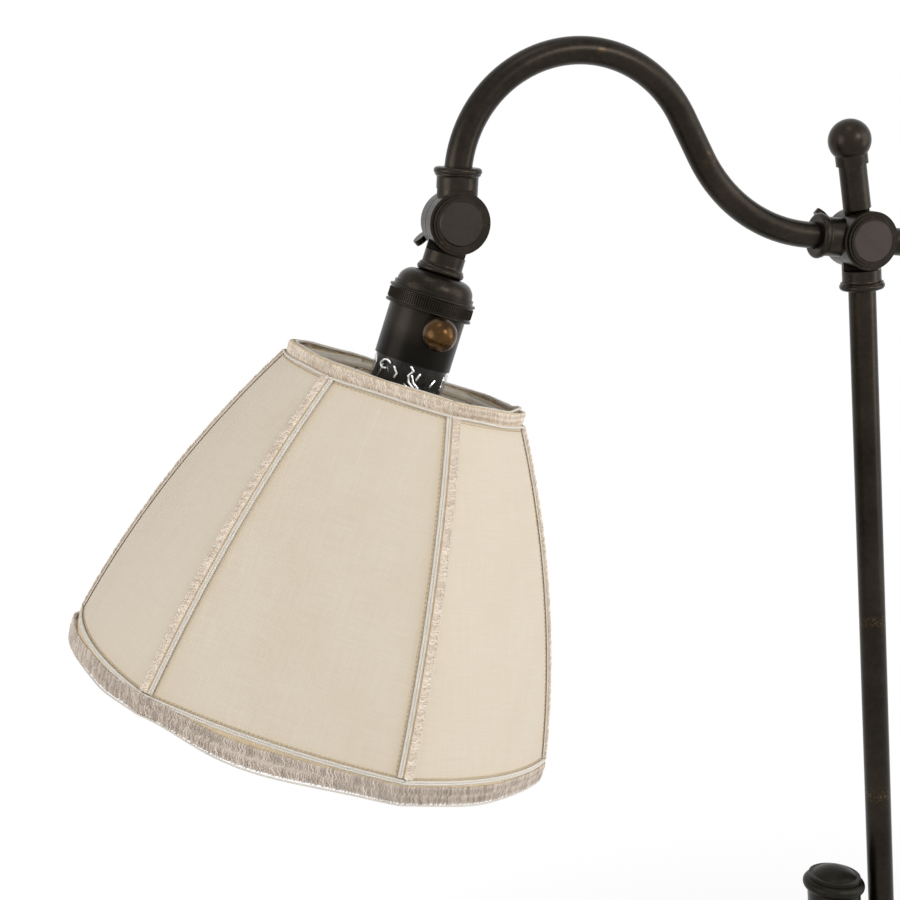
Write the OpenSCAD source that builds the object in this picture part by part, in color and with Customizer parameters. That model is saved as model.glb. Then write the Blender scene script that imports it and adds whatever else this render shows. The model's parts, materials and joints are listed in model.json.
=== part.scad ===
// Adjustable student lamp: a weighted round base and column carry a sliding post,
// a hub with ball-ended rods, a curved swing arm, a tilting socket and a six-panel cloth shade.
// The pivots turn about Y, the arm reaches towards -X, and -Y is the front.

/* [Base] */
// Diameter of the round base
base_d = 190; // [170:1:230]
// Height of the straight skirt
skirt_h = 7; // [6:0.5:12]
// Radius of the rounded shoulder above the skirt
shoulder_r = 7; // [5:0.5:9]
// Diameter of the raised step
step_d = 148; // [130:1:152]
// Height of the raised step
step_h = 5; // [4:0.5:9]
// Radius of the hollow rise to the column
cove_r = 14; // [8:0.5:18]
// Diameter at the foot of the hollow rise
cove_d = 124; // [100:1:126]
// Wall of the base cover
base_wall = 2; // [1.5:0.1:3]
// Thickness of the felt under the base
felt_t = 2; // [1:0.5:4]
// Thickness of the iron weight
weight_h = 11; // [8:0.5:11]
// Bore of the cord inlet bushing
inlet_bore_d = 6.5; // [5:0.5:8]

/* [Column] */
// Outside diameter of the column
column_d = 24.4; // [20:0.1:26]
// Wall of the column tube
column_wall = 1.6; // [1:0.1:3]
// Height of the column's top edge above the table
column_top = 181; // [172:1:200]
// Diameter of the foot ring under the column
foot_d = 46; // [40:1:56]
// Height of the foot ring
foot_h = 12; // [8:0.5:16]
// Outside diameter of the threaded pipes under the column and in the socket
pipe_d = 10; // [8:0.1:11]
// Diameter of the rim of the column cap
cap_d = 28.6; // [28:0.1:34]
// Height of the rounded rim of the column cap
cap_rim_h = 6; // [5:0.5:8]
// Height of the step and dome above the rim
cap_dome_h = 5.5; // [4:0.5:8]
// Lean of the loose cap towards the post
cap_lean = 8; // [0:0.5:9]

/* [Bracket] */
// Distance from the column's axis to the post's axis
post_offset = 24.3; // [24:0.1:32]
// Height of the bracket's underside above the table
bracket_z = 138; // [120:1:142]
// Height of the bracket
bracket_h = 22; // [18:0.5:26]
// Wall of the bracket round the column and the post
bracket_wall = 3; // [2.5:0.1:4]
// Height of the ring that the bracket turns on
ring_h = 6; // [4:0.5:10]
// Thread diameter of the thumb screws
screw_d = 5; // [4:0.5:6]
// Diameter of the thumb screws' knobs
screw_knob_d = 15; // [12:0.5:18]

/* [Post] */
// Outside diameter of the post and of the ball-ended rods
post_d = 11.8; // [10:0.1:12.4]
// Wall of the post tube
post_wall = 1.4; // [1:0.1:2]
// Height of the hub's pivot above the table, as photographed
hub_z = 480; // [460:1:520]
// Height of the post's lower end above the table, as photographed
post_foot_z = 94; // [88:1:98]
// Diameter of the stop on the post's lower end
stop_d = 16.5; // [15:0.5:18]
// Height of the stop
stop_h = 6; // [4:0.5:7]

/* [Swivels] */
// Diameter of the swivel discs
disc_d = 25; // [23:0.5:28]
// Thickness of the hub across both halves
hub_t = 23; // [21:0.5:28]
// Thickness of the knuckle across both halves
knuckle_t = 18; // [17:0.5:24]
// Diameter of the tube collars
collar_d = 16.7; // [15.5:0.1:17.5]
// Diameter of the bead at the mouth of each collar
bead_d = 19.4; // [18.4:0.1:22]
// Thickness of the bead
bead_t = 3; // [2:0.25:4]
// Distance from a pivot to the mouth of its collar
collar_reach = 21.8; // [20:0.1:25]
// Depth that a tube goes into its collar
collar_depth = 7; // [5:0.5:8]
// Diameter of the flat cover on the front disc
cover_d = 18; // [14:0.5:18.5]
// Diameter of the pivot bolts
bolt_d = 5; // [4:0.5:6]
// Reach of each wing of the wing nuts from the bolt's axis
wing_reach = 15.6; // [13:0.2:18]
// Distance from the hub's pivot to the centre of a ball finial
ball_reach = 42.5; // [38:0.5:50]
// Diameter of the ball finials
ball_d = 18.2; // [16:0.2:22]
// Lean of the upper ball rod towards the arm's side
top_lean = 5; // [0:0.5:6]

/* [Arm] */
// Outside diameter of the arm tube
arm_d = 11.2; // [10:0.1:12]
// Wall of the arm tube
arm_wall = 1.3; // [0.8:0.1:2]
// Angle of the arm's first stretch above level, as photographed
arm_rise = 10.8; // [0:0.1:20]
// Length from the hub's pivot to the first bend
arm_lead = 25; // [24:0.5:35]
// Bend radius of the rise
rise_r = 65; // [50:1:80]
// Slope of the straight stretch after the rise
climb = 66.4; // [55:0.2:75]
// Length of the straight stretch after the rise
climb_l = 19; // [8:0.5:30]
// Bend radius of the crest
crest_r = 51; // [44:0.5:60]
// Slope at which the arm comes down into the knuckle
drop = 82; // [75:0.5:90]
// Length from the end of the crest to the knuckle's pivot
arm_tail = 18.6; // [18:0.2:30]

/* [Socket] */
// Tilt of the socket and the shade from upright, as photographed
shade_tilt = 23.4; // [0:0.2:40]
// Height of the domed socket cap
socket_cap_h = 8; // [7.5:0.5:12]
// Height of the beaded ring
socket_ring_h = 7.5; // [5:0.5:9]
// Diameter of the beaded ring
socket_ring_d = 35.6; // [34:0.2:38]
// Outside diameter of the socket shell
shell_d = 31.3; // [31:0.1:33]
// Length of the socket shell below the ring
shell_l = 21; // [19:0.5:26]
// Wall of the socket cap and shell
shell_wall = 0.8; // [0.6:0.1:1]
// Length of the insulating liner below the shell
liner_l = 22; // [21:0.5:30]
// Distance of the switch shaft below the ring
switch_drop = 6; // [4:0.5:8]
// Diameter of the switch shaft
switch_d = 4; // [3:0.2:5]
// Diameter of the ball knob on the switch
knob_d = 13.7; // [11:0.1:16]

/* [Bulb] */
// Diameter of the bulb's glass
bulb_d = 48; // [40:1:60]
// Distance from the bulb's cap to the centre of its globe
bulb_neck = 38; // [34:1:48]

/* [Shade] */
// Diameter of the shade's top rim over the ribs
shade_top_d = 97.3; // [90:0.1:120]
// Diameter of the shade's bottom rim over the ribs
shade_bottom_d = 201; // [170:1:230]
// Height of the shade along its axis
shade_h = 132; // [100:0.5:140]
// Distance from the knuckle's pivot to the plane of the top rim
shade_drop = 67.2; // [64:0.1:74]
// Number of ribs and of cloth panels
rib_count = 6; // [5:1:8]
// Angle of the front rib from the front, round the shade's axis
rib_turn = 8.1; // [-25:0.1:25]
// Outward bow of the ribs
rib_bow = 6; // [2:0.25:8]
// How flat each panel pulls between its ribs halfway down, from a full round at 0 to a flat chord at 1
panel_pull = 0.62; // [0:0.02:0.8]
// How flat each panel pulls between its ribs at the rims
rim_pull = 0.4; // [0:0.02:0.6]
// Thickness of the cloth with its lining
cloth_t = 0.8; // [0.6:0.1:1.2]
// Diameter of the frame wire
wire_d = 2.4; // [2:0.1:3]
// Width of the braid along the ribs
braid_w = 7; // [5:0.25:9]
// Width of the braid round the top rim
top_braid_w = 6.5; // [5:0.25:9]
// Width of the braid round the bottom rim
bottom_braid_w = 9.5; // [7:0.25:12]
// Thickness of the braid
braid_t = 1.6; // [1:0.1:2.5]
// How far the top braid stands above the rim
braid_rise = 3; // [1:0.5:4]
// How far the bottom braid hangs below the rim
braid_hang = 7.5; // [2:0.5:9]

/* [Clearances] */
// Radial clearance of turning, sliding and seated round fits
fit = 0.05; // [0.02:0.01:0.09]
// Space left between faces that pass each other
gap = 0.4; // [0.3:0.05:0.6]
// Radial room round the bent arm in its collars
arm_slack = 0.2; // [0.15:0.05:0.4]

/* [Hidden] */
$fn = 64;
bronze = [0.22, 0.2, 0.18];
bronze_face = [0.3, 0.27, 0.25];
aged_brass = [0.42, 0.3, 0.17];
iron = [0.25, 0.25, 0.26];
felt = [0.16, 0.22, 0.17];
steel = [0.55, 0.55, 0.56];
brass = [0.72, 0.58, 0.3];
phenolic = [0.07, 0.06, 0.06];
cloth = [0.87, 0.81, 0.72];
gimp = [0.85, 0.78, 0.72];
clear = [0.85, 0.87, 0.88];

skirt_top = felt_t + skirt_h;
tread_z = skirt_top + shoulder_r;
step_z = tread_z + step_h;
base_top = step_z + cove_r;
step_round = step_h * 0.8;
weight_r = base_d / 2 - shoulder_r - base_wall;
recess_r = 14;
nut_h = 4;
nut_r = pipe_d * 0.95;
washer_t = 1;
washer_r = 12;
pipe_wall = 1.5;
pipe_foot = felt_t + 1;
nut_z = pipe_foot + 1;
recess_top = nut_z + nut_h + washer_t;
inlet_wall = 1.5;
inlet_r = inlet_bore_d / 2 + inlet_wall;
inlet_z = felt_t + inlet_r + 1.2;
inlet_lip = 1.5;
inlet_lip_t = 1.2;
inlet_l = 9;

foot_floor = 4;
column_z = base_top + foot_floor;
pipe_end = column_z + nut_h + 2;
ring_r = column_d / 2 + bracket_wall;
// The cap is a cup, wide enough to lean on the column's top edge
cap_step_h = 1.6;
cap_step_r = cap_d / 2 - 2.4;
cap_dome_r = cap_d / 2 - 4.2;
cap_roof = 1;
cup_depth = cap_rim_h - cap_roof;
cap_shift = cup_depth * sin(cap_lean) / 2;
cup_r = (column_d / 2 + cap_shift) / cos(cap_lean) + fit;
cap_lift = (column_d / 2 - cap_shift) * tan(cap_lean) + fit;

column_sleeve_r = column_d / 2 + fit + bracket_wall;
post_sleeve_r = post_d / 2 + fit + bracket_wall;
boss_l = 3.5;
boss_r = screw_d / 2 + 2.6;
neck_l = 2;
screw_knob_h = 6;

hub_pos = [post_offset, 0, hub_z];
disc_r = disc_d / 2;
stem_start = disc_r + gap + 0.3;
face_depth = 2;
disc_step = 1.3;
cover_rim = 1.1;
half_gap = gap;
rod_stub_l = 5;
spigot_d = post_d - 5;
spigot_l = rod_stub_l - gap;
ball_ring_d = post_d + 1.9;
ball_ring_h = 4.8;
ball_ring_drop = ball_d / 2 + 1.2;
bolt_head_r = bolt_d * 0.85;
bolt_head_h = 3;
cover_t = 3;
nut_len = 7;
bolt_tail = nut_len + 1.5;
wing_t = 2.4;
lap = 0.5;
lap_swell = 0.02;
hub_wing_turn = 130;
knuckle_wing_turn = 35;

// Direction at a slope above level, towards the arm's side
function heading(slope) = [-cos(slope), 0, sin(slope)];
// Shift along a bend of radius r from one slope to another
function bend_shift(r, from, to) = r * (heading(from + 90) - heading(to + 90));
knuckle_pos = hub_pos + heading(arm_rise) * arm_lead + bend_shift(rise_r, arm_rise, climb)
    + heading(climb) * climb_l - bend_shift(crest_r, climb, -drop) + heading(-drop) * arm_tail;

socket_top = collar_reach + fit;
ring_z = socket_top + socket_cap_h;
cap_ledge_h = 1.8;
cap_ledge_r = shell_d / 2 + 0.75;
ring_bead_r = socket_ring_h / 12;
shell_end = ring_z + socket_ring_h + shell_l;
liner_end = shell_end + liner_l;
liner_r = shell_d / 2 - shell_wall - 0.3;
liner_wall = 0.8;
switch_z = ring_z + socket_ring_h + switch_drop;
screw_shell_r = liner_r - liner_wall - 0.1;
screw_shell_wall = 0.4;
body_top = ring_z + 2;
body_end = shell_end - 1;
contact_h = 2;
bulb_cap_top = body_end + contact_h + 1.2;
bulb_cap_l = 25;
bulb_cap_r = screw_shell_r - screw_shell_wall - 0.2;
bulb_top = bulb_cap_top + bulb_cap_l;
bulb_z = bulb_top + bulb_neck;
bulb_neck_r = bulb_cap_r + 0.6;
bulb_tangent = 35;
bulb_wall = 1;
liner_lip_r = liner_r + 2.2;
liner_lip_t = 2;
lip_z = liner_end - 6;
fitter_t = 2;
fitter_r = liner_r + 5;
fitter_edge = 1;
film_t = 0.4;
knob_reach = shell_d / 2 + knob_d / 2 + 1.8;

degrees = 180 / PI;
// The ribs follow one circle in the plane of the axis, through both rims
top_r = shade_top_d / 2;
bottom_r = shade_bottom_d / 2;
rib_chord = norm([bottom_r - top_r, shade_h]);
rib_arc_r = (rib_chord * rib_chord / 4 + rib_bow * rib_bow) / (2 * rib_bow);
rib_slope = atan2(bottom_r - top_r, shade_h);
rib_sweep = 2 * asin(rib_chord / 2 / rib_arc_r);
arc_x = (top_r + bottom_r) / 2 - (rib_arc_r - rib_bow) * cos(rib_slope);
arc_s = shade_h / 2 + (rib_arc_r - rib_bow) * sin(rib_slope);
panel_angle = 360 / rib_count;
wire_inset = cloth_t + gap + wire_d / 2;
// Radius of the cloth over a rib, at a distance s below the top rim
function rib_radius(s) = arc_x + sqrt(rib_arc_r * rib_arc_r - pow(s - arc_s, 2));
// Rise of a panel's section above the chord between its ribs
function panel_sag(s) =
    let (pull = rim_pull + (panel_pull - rim_pull) * sin(180 * s / shade_h))
    (1 - pull) * rib_radius(s) * (1 - cos(panel_angle / 2));
// Radius of the arc that the section follows
function section_r(s) =
    let (half_chord = rib_radius(s) * sin(panel_angle / 2), sag = panel_sag(s))
    (half_chord * half_chord + sag * sag) / (2 * sag);
// Distance of that arc's centre from the axis, towards the middle of the panel
function section_c(s) = rib_radius(s) * cos(panel_angle / 2) + panel_sag(s) - section_r(s);
// Distance from the axis at an angle a from the middle of a panel, on an arc inside the cloth by an inset
function panel_radius(s, a, inset = 0) =
    let (c = section_c(s), r = section_r(s) - inset)
    c * cos(a) + sqrt(r * r - pow(c * sin(a), 2));
panel_rows = 10;
panel_columns = 8;
panel_seam = 0.4;
weld = 0.2;
braid_rows = 12;
braid_gap = 0.25;
braid_meet = 0.5;

module at_hub() {
    translate(hub_pos) children();
}

module at_arm() {
    at_hub() rotate([0, arm_rise, 0]) children();
}

module at_arm_end() {
    translate(knuckle_pos) rotate([0, -drop, 0]) children();
}

module at_socket() {
    translate(knuckle_pos) rotate([0, shade_tilt, 0]) children();
}

// Cylinder along Y from one y to another
module rod_y(r, from, to) {
    translate([0, from, 0]) rotate([-90, 0, 0]) cylinder(r = r, h = to - from);
}

// Cylinder along -X from one distance to another
module rod_out(r, from, to) {
    translate([-from, 0, 0]) rotate([0, -90, 0]) cylinder(r = r, h = to - from);
}

module tube(r, wall, h) {
    difference() {
        cylinder(r = r, h = h);
        translate([0, 0, -1]) cylinder(r = r - wall, h = h + 2);
    }
}

module felt_pad() {
    color(felt) cylinder(r = base_d / 2 - base_wall, h = felt_t);
}

module base_weight() {
    color(iron) translate([0, 0, felt_t]) difference() {
        cylinder(r = weight_r - gap, h = weight_h);
        translate([0, 0, -1]) cylinder(r = recess_r, h = recess_top - felt_t + 1);
        translate([0, 0, -1]) cylinder(r = pipe_d / 2 + fit, h = weight_h + 2);
        translate([-inlet_r - gap, 0, -1]) cube([2 * (inlet_r + gap), base_d, weight_h + 2]);
    }
}

module base_profile() {
    square([base_d / 2, skirt_h]);
    translate([0, skirt_h]) square([base_d / 2 - shoulder_r, shoulder_r]);
    translate([base_d / 2 - shoulder_r, skirt_h]) circle(r = shoulder_r);
    translate([0, tread_z - felt_t]) square([step_d / 2 - step_round, step_h]);
    translate([0, tread_z - felt_t]) square([step_d / 2, step_h - step_round]);
    translate([step_d / 2 - step_round, step_z - felt_t - step_round]) circle(r = step_round);
    difference() {
        translate([0, step_z - felt_t]) square([cove_d / 2, cove_r]);
        translate([cove_d / 2, base_top - felt_t]) circle(r = cove_r);
    }
}

module base_cover() {
    color(bronze) translate([0, 0, felt_t]) difference() {
        rotate_extrude($fn = 128) intersection() {
            base_profile();
            square([base_d, base_top]);
        }
        translate([0, 0, -1]) cylinder(r = weight_r, h = weight_h + 1, $fn = 128);
        cylinder(r = step_d / 2 - step_round - base_wall, h = step_z - felt_t - base_wall, $fn = 128);
        cylinder(r = cove_d / 2 - cove_r - base_wall, h = base_top - felt_t - base_wall);
        cylinder(r = pipe_d / 2 + fit, h = base_top);
        translate([0, 0, inlet_z - felt_t]) rotate([-90, 0, 0])
            cylinder(r = inlet_r + fit, h = base_d);
    }
}

module cord_bushing() {
    color(phenolic) translate([0, base_d / 2 - inlet_l, inlet_z]) rotate([-90, 0, 0]) difference() {
        union() {
            cylinder(r = inlet_r, h = inlet_l + gap);
            translate([0, 0, inlet_l + gap]) cylinder(r = inlet_r + inlet_lip, h = inlet_lip_t);
        }
        translate([0, 0, -1]) cylinder(r = inlet_bore_d / 2, h = base_d);
    }
}

module base_washer() {
    color(steel) translate([0, 0, recess_top - washer_t]) difference() {
        cylinder(r = washer_r, h = washer_t);
        translate([0, 0, -1]) cylinder(r = pipe_d / 2 + fit, h = washer_t + 2);
    }
}

// One nut under the weight and one on the floor of the column's foot
module base_nut() {
    color(steel) for (z = [nut_z, column_z]) {
        translate([0, 0, z]) difference() {
            cylinder(r = nut_r, h = nut_h, $fn = 6);
            translate([0, 0, -1]) cylinder(r = pipe_d / 2 + fit, h = nut_h + 2);
        }
    }
}

module lamp_pipe() {
    color(steel) translate([0, 0, pipe_foot]) tube(pipe_d / 2, pipe_wall, pipe_end - pipe_foot);
}

module column_foot() {
    foot_round = foot_h / 4;
    foot_wall = 2.4;
    foot_lip = 1.5;
    waist_r = column_d / 2 + foot_wall;
    foot_cove = foot_h - 2 * foot_round - foot_lip;
    color(bronze) translate([0, 0, base_top]) difference() {
        rotate_extrude() {
            square([foot_d / 2 - foot_round, 2 * foot_round]);
            translate([foot_d / 2 - foot_round, foot_round]) circle(r = foot_round);
            square([waist_r, foot_h]);
            difference() {
                translate([0, 2 * foot_round]) square([waist_r + foot_cove, foot_cove]);
                translate([waist_r + foot_cove, 2 * foot_round + foot_cove]) circle(r = foot_cove);
            }
        }
        translate([0, 0, column_z - base_top]) cylinder(r = column_d / 2 + fit, h = foot_h);
        translate([0, 0, -1]) cylinder(r = pipe_d / 2 + fit, h = foot_h + 2);
    }
}

module column() {
    color(bronze) translate([0, 0, column_z]) tube(column_d / 2, column_wall, column_top - column_z);
}

module rest_ring() {
    color(bronze) translate([0, 0, bracket_z - ring_h]) difference() {
        rotate_extrude() {
            square([ring_r, ring_h / 2]);
            translate([ring_r - ring_h / 4, ring_h / 2]) circle(r = ring_h / 4);
            square([ring_r - ring_h / 4, ring_h - gap]);
        }
        translate([0, 0, -1]) cylinder(r = column_d / 2 + fit, h = ring_h + 2);
    }
}

module cap_profile() {
    rim_r = cap_rim_h / 2;
    dome_h = cap_dome_h - cap_step_h;
    sphere_r = (cap_dome_r * cap_dome_r + dome_h * dome_h) / (2 * dome_h);
    square([cap_d / 2 - rim_r, cap_rim_h]);
    translate([cap_d / 2 - rim_r, rim_r]) circle(r = rim_r);
    square([cap_step_r, cap_rim_h + cap_step_h]);
    intersection() {
        translate([0, cap_rim_h + cap_dome_h - sphere_r]) circle(r = sphere_r, $fn = 128);
        square([cap_dome_r, cap_rim_h + cap_dome_h]);
    }
}

module column_cap() {
    color(bronze) translate([cap_shift, 0, column_top + cap_lift]) rotate([0, cap_lean, 0])
        translate([0, 0, -cup_depth]) difference() {
            rotate_extrude() cap_profile();
            translate([0, 0, -1]) cylinder(r = cup_r, h = cup_depth + 1);
        }
}

// Sleeve bored for the column, sleeve bored for the post, and bosses for the two thumb screws
module bracket() {
    mid = bracket_h / 2;
    color(bronze) translate([0, 0, bracket_z]) difference() {
        union() {
            cylinder(r = column_sleeve_r, h = bracket_h);
            translate([post_offset, 0, 0]) cylinder(r = post_sleeve_r, h = bracket_h);
            translate([0, -post_sleeve_r, 0]) cube([post_offset, 2 * post_sleeve_r, bracket_h]);
            translate([post_offset, 0, mid]) rotate([0, 90, 0])
                cylinder(r = boss_r, h = post_sleeve_r + boss_l);
            translate([0, 0, mid]) rotate([-90, 0, 0])
                cylinder(r = boss_r, h = column_sleeve_r + boss_l);
        }
        translate([0, 0, -1]) cylinder(r = column_d / 2 + fit, h = bracket_h + 2);
        translate([post_offset, 0, -1]) cylinder(r = post_d / 2 + fit, h = bracket_h + 2);
        translate([post_offset, 0, mid]) rotate([0, 90, 0])
            cylinder(r = screw_d / 2 + fit, h = post_offset * 2);
        translate([0, 0, mid]) rotate([-90, 0, 0]) cylinder(r = screw_d / 2 + fit, h = post_offset * 2);
    }
}

// Thumb screw along Z with its tip at the origin and a turned knob
module thumb_screw(shank_l) {
    round_r = screw_knob_h / 4;
    cylinder(r = screw_d / 2, h = shank_l + neck_l + 1);
    translate([0, 0, shank_l]) cylinder(r = screw_d / 2 + 1.5, h = neck_l);
    translate([0, 0, shank_l + neck_l]) rotate_extrude() {
        square([screw_knob_d / 2 - round_r, screw_knob_h]);
        translate([0, round_r]) square([screw_knob_d / 2, screw_knob_h - 2 * round_r]);
        translate([screw_knob_d / 2 - round_r, round_r]) circle(r = round_r);
        translate([screw_knob_d / 2 - round_r, screw_knob_h - round_r]) circle(r = round_r);
    }
}

module post_screw() {
    color(bronze) translate([post_offset + post_d / 2 + gap, 0, bracket_z + bracket_h / 2])
        rotate([0, 90, 0]) thumb_screw(bracket_wall + boss_l + fit);
}

module column_screw() {
    color(bronze) translate([0, column_d / 2 + gap, bracket_z + bracket_h / 2])
        rotate([-90, 0, 0]) thumb_screw(bracket_wall + boss_l + fit);
}

module post() {
    color(bronze) translate([post_offset, 0, post_foot_z])
        tube(post_d / 2, post_wall, hub_z - collar_reach + collar_depth - post_foot_z);
}

module post_stop() {
    seat = stop_h / 2;
    color(bronze) translate([post_offset, 0, post_foot_z - stop_h + seat]) difference() {
        rotate_extrude() {
            square([stop_d / 2 - 1, stop_h]);
            translate([0, 1]) square([stop_d / 2, stop_h - 2]);
            translate([stop_d / 2 - 1, 1]) circle(r = 1);
            translate([stop_d / 2 - 1, stop_h - 1]) circle(r = 1);
        }
        translate([0, 0, stop_h - seat]) cylinder(r = post_d / 2 + fit, h = stop_h);
    }
}

// Collar with a flared, beaded mouth along -X, bored for a tube
module collar(bore_r) {
    flare = (bead_d - collar_d) / 2;
    bead_r = bead_t / 2;
    mouth = collar_reach - stem_start;
    translate([-stem_start, 0, 0]) rotate([0, -90, 0]) difference() {
        rotate_extrude() {
            square([collar_d / 2, mouth - bead_r]);
            square([bead_d / 2 - bead_r, mouth]);
            translate([bead_d / 2 - bead_r, mouth - bead_r]) circle(r = bead_r);
            difference() {
                translate([collar_d / 2 - lap, mouth - bead_t - flare]) square([flare, flare + bead_r]);
                translate([collar_d / 2 + flare, mouth - bead_t - flare]) circle(r = flare);
            }
        }
        translate([0, 0, mouth - collar_depth]) cylinder(r = bore_r, h = collar_depth + 1);
    }
}

// What lies behind the stepped face of a swivel half, on the side of its stem or its stub
module half_space(t, side) {
    depth = t / 2 - face_depth - half_gap / 2;
    translate([side < 0 ? -disc_d : 0, face_depth - t / 2, -disc_d]) cube([disc_d, depth, 2 * disc_d]);
}

// One half of a swivel: a stepped disc in front of the middle plane, with a collar along -X
// and, where it has a stub, a short rod on the other side that leans off the collar's line
module swivel_half(t, bore_r, stub, lean = 0) {
    back = -half_gap / 2;
    face = -t / 2;
    stub_end = stem_start + rod_stub_l;
    difference() {
        union() {
            rod_y(disc_r, face + face_depth, back);
            rod_y(disc_r - disc_step, face + face_depth / 2, back);
            rod_y(cover_d / 2 + cover_rim, face + face_depth / 4, back);
            collar(bore_r);
            intersection() {
                rod_out(collar_d / 2, 0, stem_start + lap);
                half_space(t, -1);
            }
            if (stub) {
                rotate([0, 180 - lean, 0]) rod_out(post_d / 2, stem_start, stub_end);
                intersection() {
                    rotate([0, 180 - lean, 0]) rod_out(post_d / 2, 0, stem_start + lap);
                    half_space(t, 1);
                }
            }
        }
        rod_y(bolt_d / 2 + fit, face - 1, 1);
        if (stub) {
            rotate([0, 180 - lean, 0]) rod_out(spigot_d / 2 + fit, stem_start, stub_end + 1);
        }
    }
}

// Half that carries the flat cover and hides the bolt's head
module front_half(t, stub) {
    difference() {
        swivel_half(t, arm_d / 2 + arm_slack, stub);
        rod_y(cover_d / 2 + fit, -t, -t / 2 + cover_t);
        rod_y(bolt_head_r + gap, -t, -t / 2 + cover_t + bolt_head_h);
    }
}

module swivel_cover(t) {
    edge = 0.5;
    rod_y(cover_d / 2, -t / 2 + edge, -t / 2 + cover_t);
    translate([0, -t / 2, 0]) rotate([-90, 0, 0])
        cylinder(r1 = cover_d / 2 - edge, r2 = cover_d / 2, h = edge);
}

module pivot_bolt(t) {
    head = -t / 2 + cover_t;
    rod_y(bolt_head_r, head, head + bolt_head_h);
    rod_y(bolt_d / 2, head, t / 2 + gap + bolt_tail);
}

module friction_washer() {
    t = half_gap / 2;
    difference() {
        rod_y(disc_r - 1, -t / 2, t / 2);
        rod_y(bolt_d / 2 + fit, -1, 1);
    }
}

// Wing nut on a bolt along Y, its front face against the rear half
module wing_nut(t, turn) {
    face = t / 2 + gap;
    body_r = bolt_d / 2 + 2.4;
    tip_r = 3.4;
    rotate([0, turn, 0]) difference() {
        union() {
            rod_y(body_r, face, face + nut_len);
            for (side = [0, 180]) {
                rotate([0, side, 0]) translate([0, face, wing_t / 2]) rotate([0, 180, 0])
                    linear_extrude(wing_t) {
                        translate([wing_reach - tip_r, nut_len + 1]) circle(r = tip_r);
                        polygon([[0, 1.6], [body_r, 1.6], [wing_reach - 1, nut_len - 1],
                                 [wing_reach - tip_r * 2, nut_len + 1.6], [0, nut_len - 1]]);
                    }
            }
        }
        rod_y(bolt_d / 2 + fit, face - 1, face + 2 * nut_len + 4);
    }
}

// Rod with a collar ring and a ball, along +X from the stub of a swivel half
module ball_rod(lean) {
    start = stem_start + rod_stub_l;
    rotate([0, 90 - lean, 0]) {
        translate([0, 0, start]) cylinder(r = post_d / 2, h = ball_reach - start);
        translate([0, 0, start - spigot_l]) cylinder(r = spigot_d / 2, h = spigot_l + lap);
        translate([0, 0, ball_reach]) sphere(r = ball_d / 2);
        translate([0, 0, ball_reach - ball_ring_drop]) cylinder(r = ball_ring_d / 2, h = ball_ring_h);
    }
}

module hub_rear() {
    color(bronze) at_hub() rotate([0, -90, 0]) mirror([0, 1, 0])
        swivel_half(hub_t, post_d / 2 + fit, true, top_lean);
}

module finial() {
    color(bronze) at_hub() rotate([0, -90, 0]) ball_rod(top_lean);
}

module hub_front() {
    color(bronze) at_arm() front_half(hub_t, true);
}

module hub_cover() {
    color(bronze_face) at_arm() swivel_cover(hub_t);
}

module hub_bolt() {
    color(steel) at_arm() pivot_bolt(hub_t);
}

module hub_washer() {
    color(phenolic) at_arm() friction_washer();
}

module hub_wing_nut() {
    color(bronze) at_hub() wing_nut(hub_t, -hub_wing_turn);
}

module tail_finial() {
    color(bronze) at_arm() ball_rod(0);
}

module tube_ring(swell) {
    difference() {
        circle(r = arm_d / 2 + swell);
        circle(r = arm_d / 2 - arm_wall - swell);
    }
}

// Straight stretch of the arm along -X, lapped into the bends before and after it
module arm_straight(from, to) {
    translate([-from, 0, 0]) rotate([0, -90, 0]) linear_extrude(to - from) tube_ring(lap_swell);
}

// Bend of the arm from -X upwards
module arm_bend_up(r, angle) {
    translate([0, 0, r]) rotate([90, 0, 0]) rotate([0, 0, -90 - angle])
        rotate_extrude(angle = angle, $fn = 128) translate([r, 0]) tube_ring(0);
}

// Bend of the arm from -X downwards
module arm_bend_down(r, angle) {
    translate([0, 0, -r]) rotate([90, 0, 0]) rotate([0, 0, 90])
        rotate_extrude(angle = angle, $fn = 128) translate([r, 0]) tube_ring(0);
}

module arm_tube() {
    seat = collar_reach - collar_depth + gap;
    rise_end = heading(arm_rise) * arm_lead + bend_shift(rise_r, arm_rise, climb);
    crest_start = rise_end + heading(climb) * climb_l;
    crest_end = crest_start - bend_shift(crest_r, climb, -drop);
    color(bronze) at_hub() {
        rotate([0, arm_rise, 0]) arm_straight(seat, arm_lead + lap);
        translate(heading(arm_rise) * arm_lead) rotate([0, arm_rise, 0])
            arm_bend_up(rise_r, climb - arm_rise);
        translate(rise_end) rotate([0, climb, 0]) arm_straight(-lap, climb_l + lap);
        translate(crest_start) rotate([0, climb, 0]) arm_bend_down(crest_r, climb + drop);
        translate(crest_end) rotate([0, -drop, 0]) arm_straight(-lap, arm_tail - seat);
    }
}

module knuckle_front() {
    color(bronze) at_arm_end() rotate([0, 180, 0]) front_half(knuckle_t, false);
}

module knuckle_cover() {
    color(bronze_face) at_arm_end() swivel_cover(knuckle_t);
}

module knuckle_bolt() {
    color(steel) at_arm_end() pivot_bolt(knuckle_t);
}

module knuckle_washer() {
    color(phenolic) at_arm_end() friction_washer();
}

module knuckle_wing_nut() {
    color(bronze) translate(knuckle_pos) wing_nut(knuckle_t, -knuckle_wing_turn);
}

module knuckle_rear() {
    color(bronze) at_socket() rotate([0, -90, 0]) mirror([0, 1, 0])
        swivel_half(knuckle_t, pipe_d / 2 + fit, false);
}

// Turned part on the socket's axis, its profile measured downwards from the knuckle's pivot
module turned() {
    rotate([180, 0, 0]) rotate_extrude() children();
}

// Hole for the switch shaft through the front wall
module switch_hole(r) {
    translate([0, 0, -switch_z]) rotate([90, 0, 0]) cylinder(r = r, h = shell_d);
}

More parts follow.
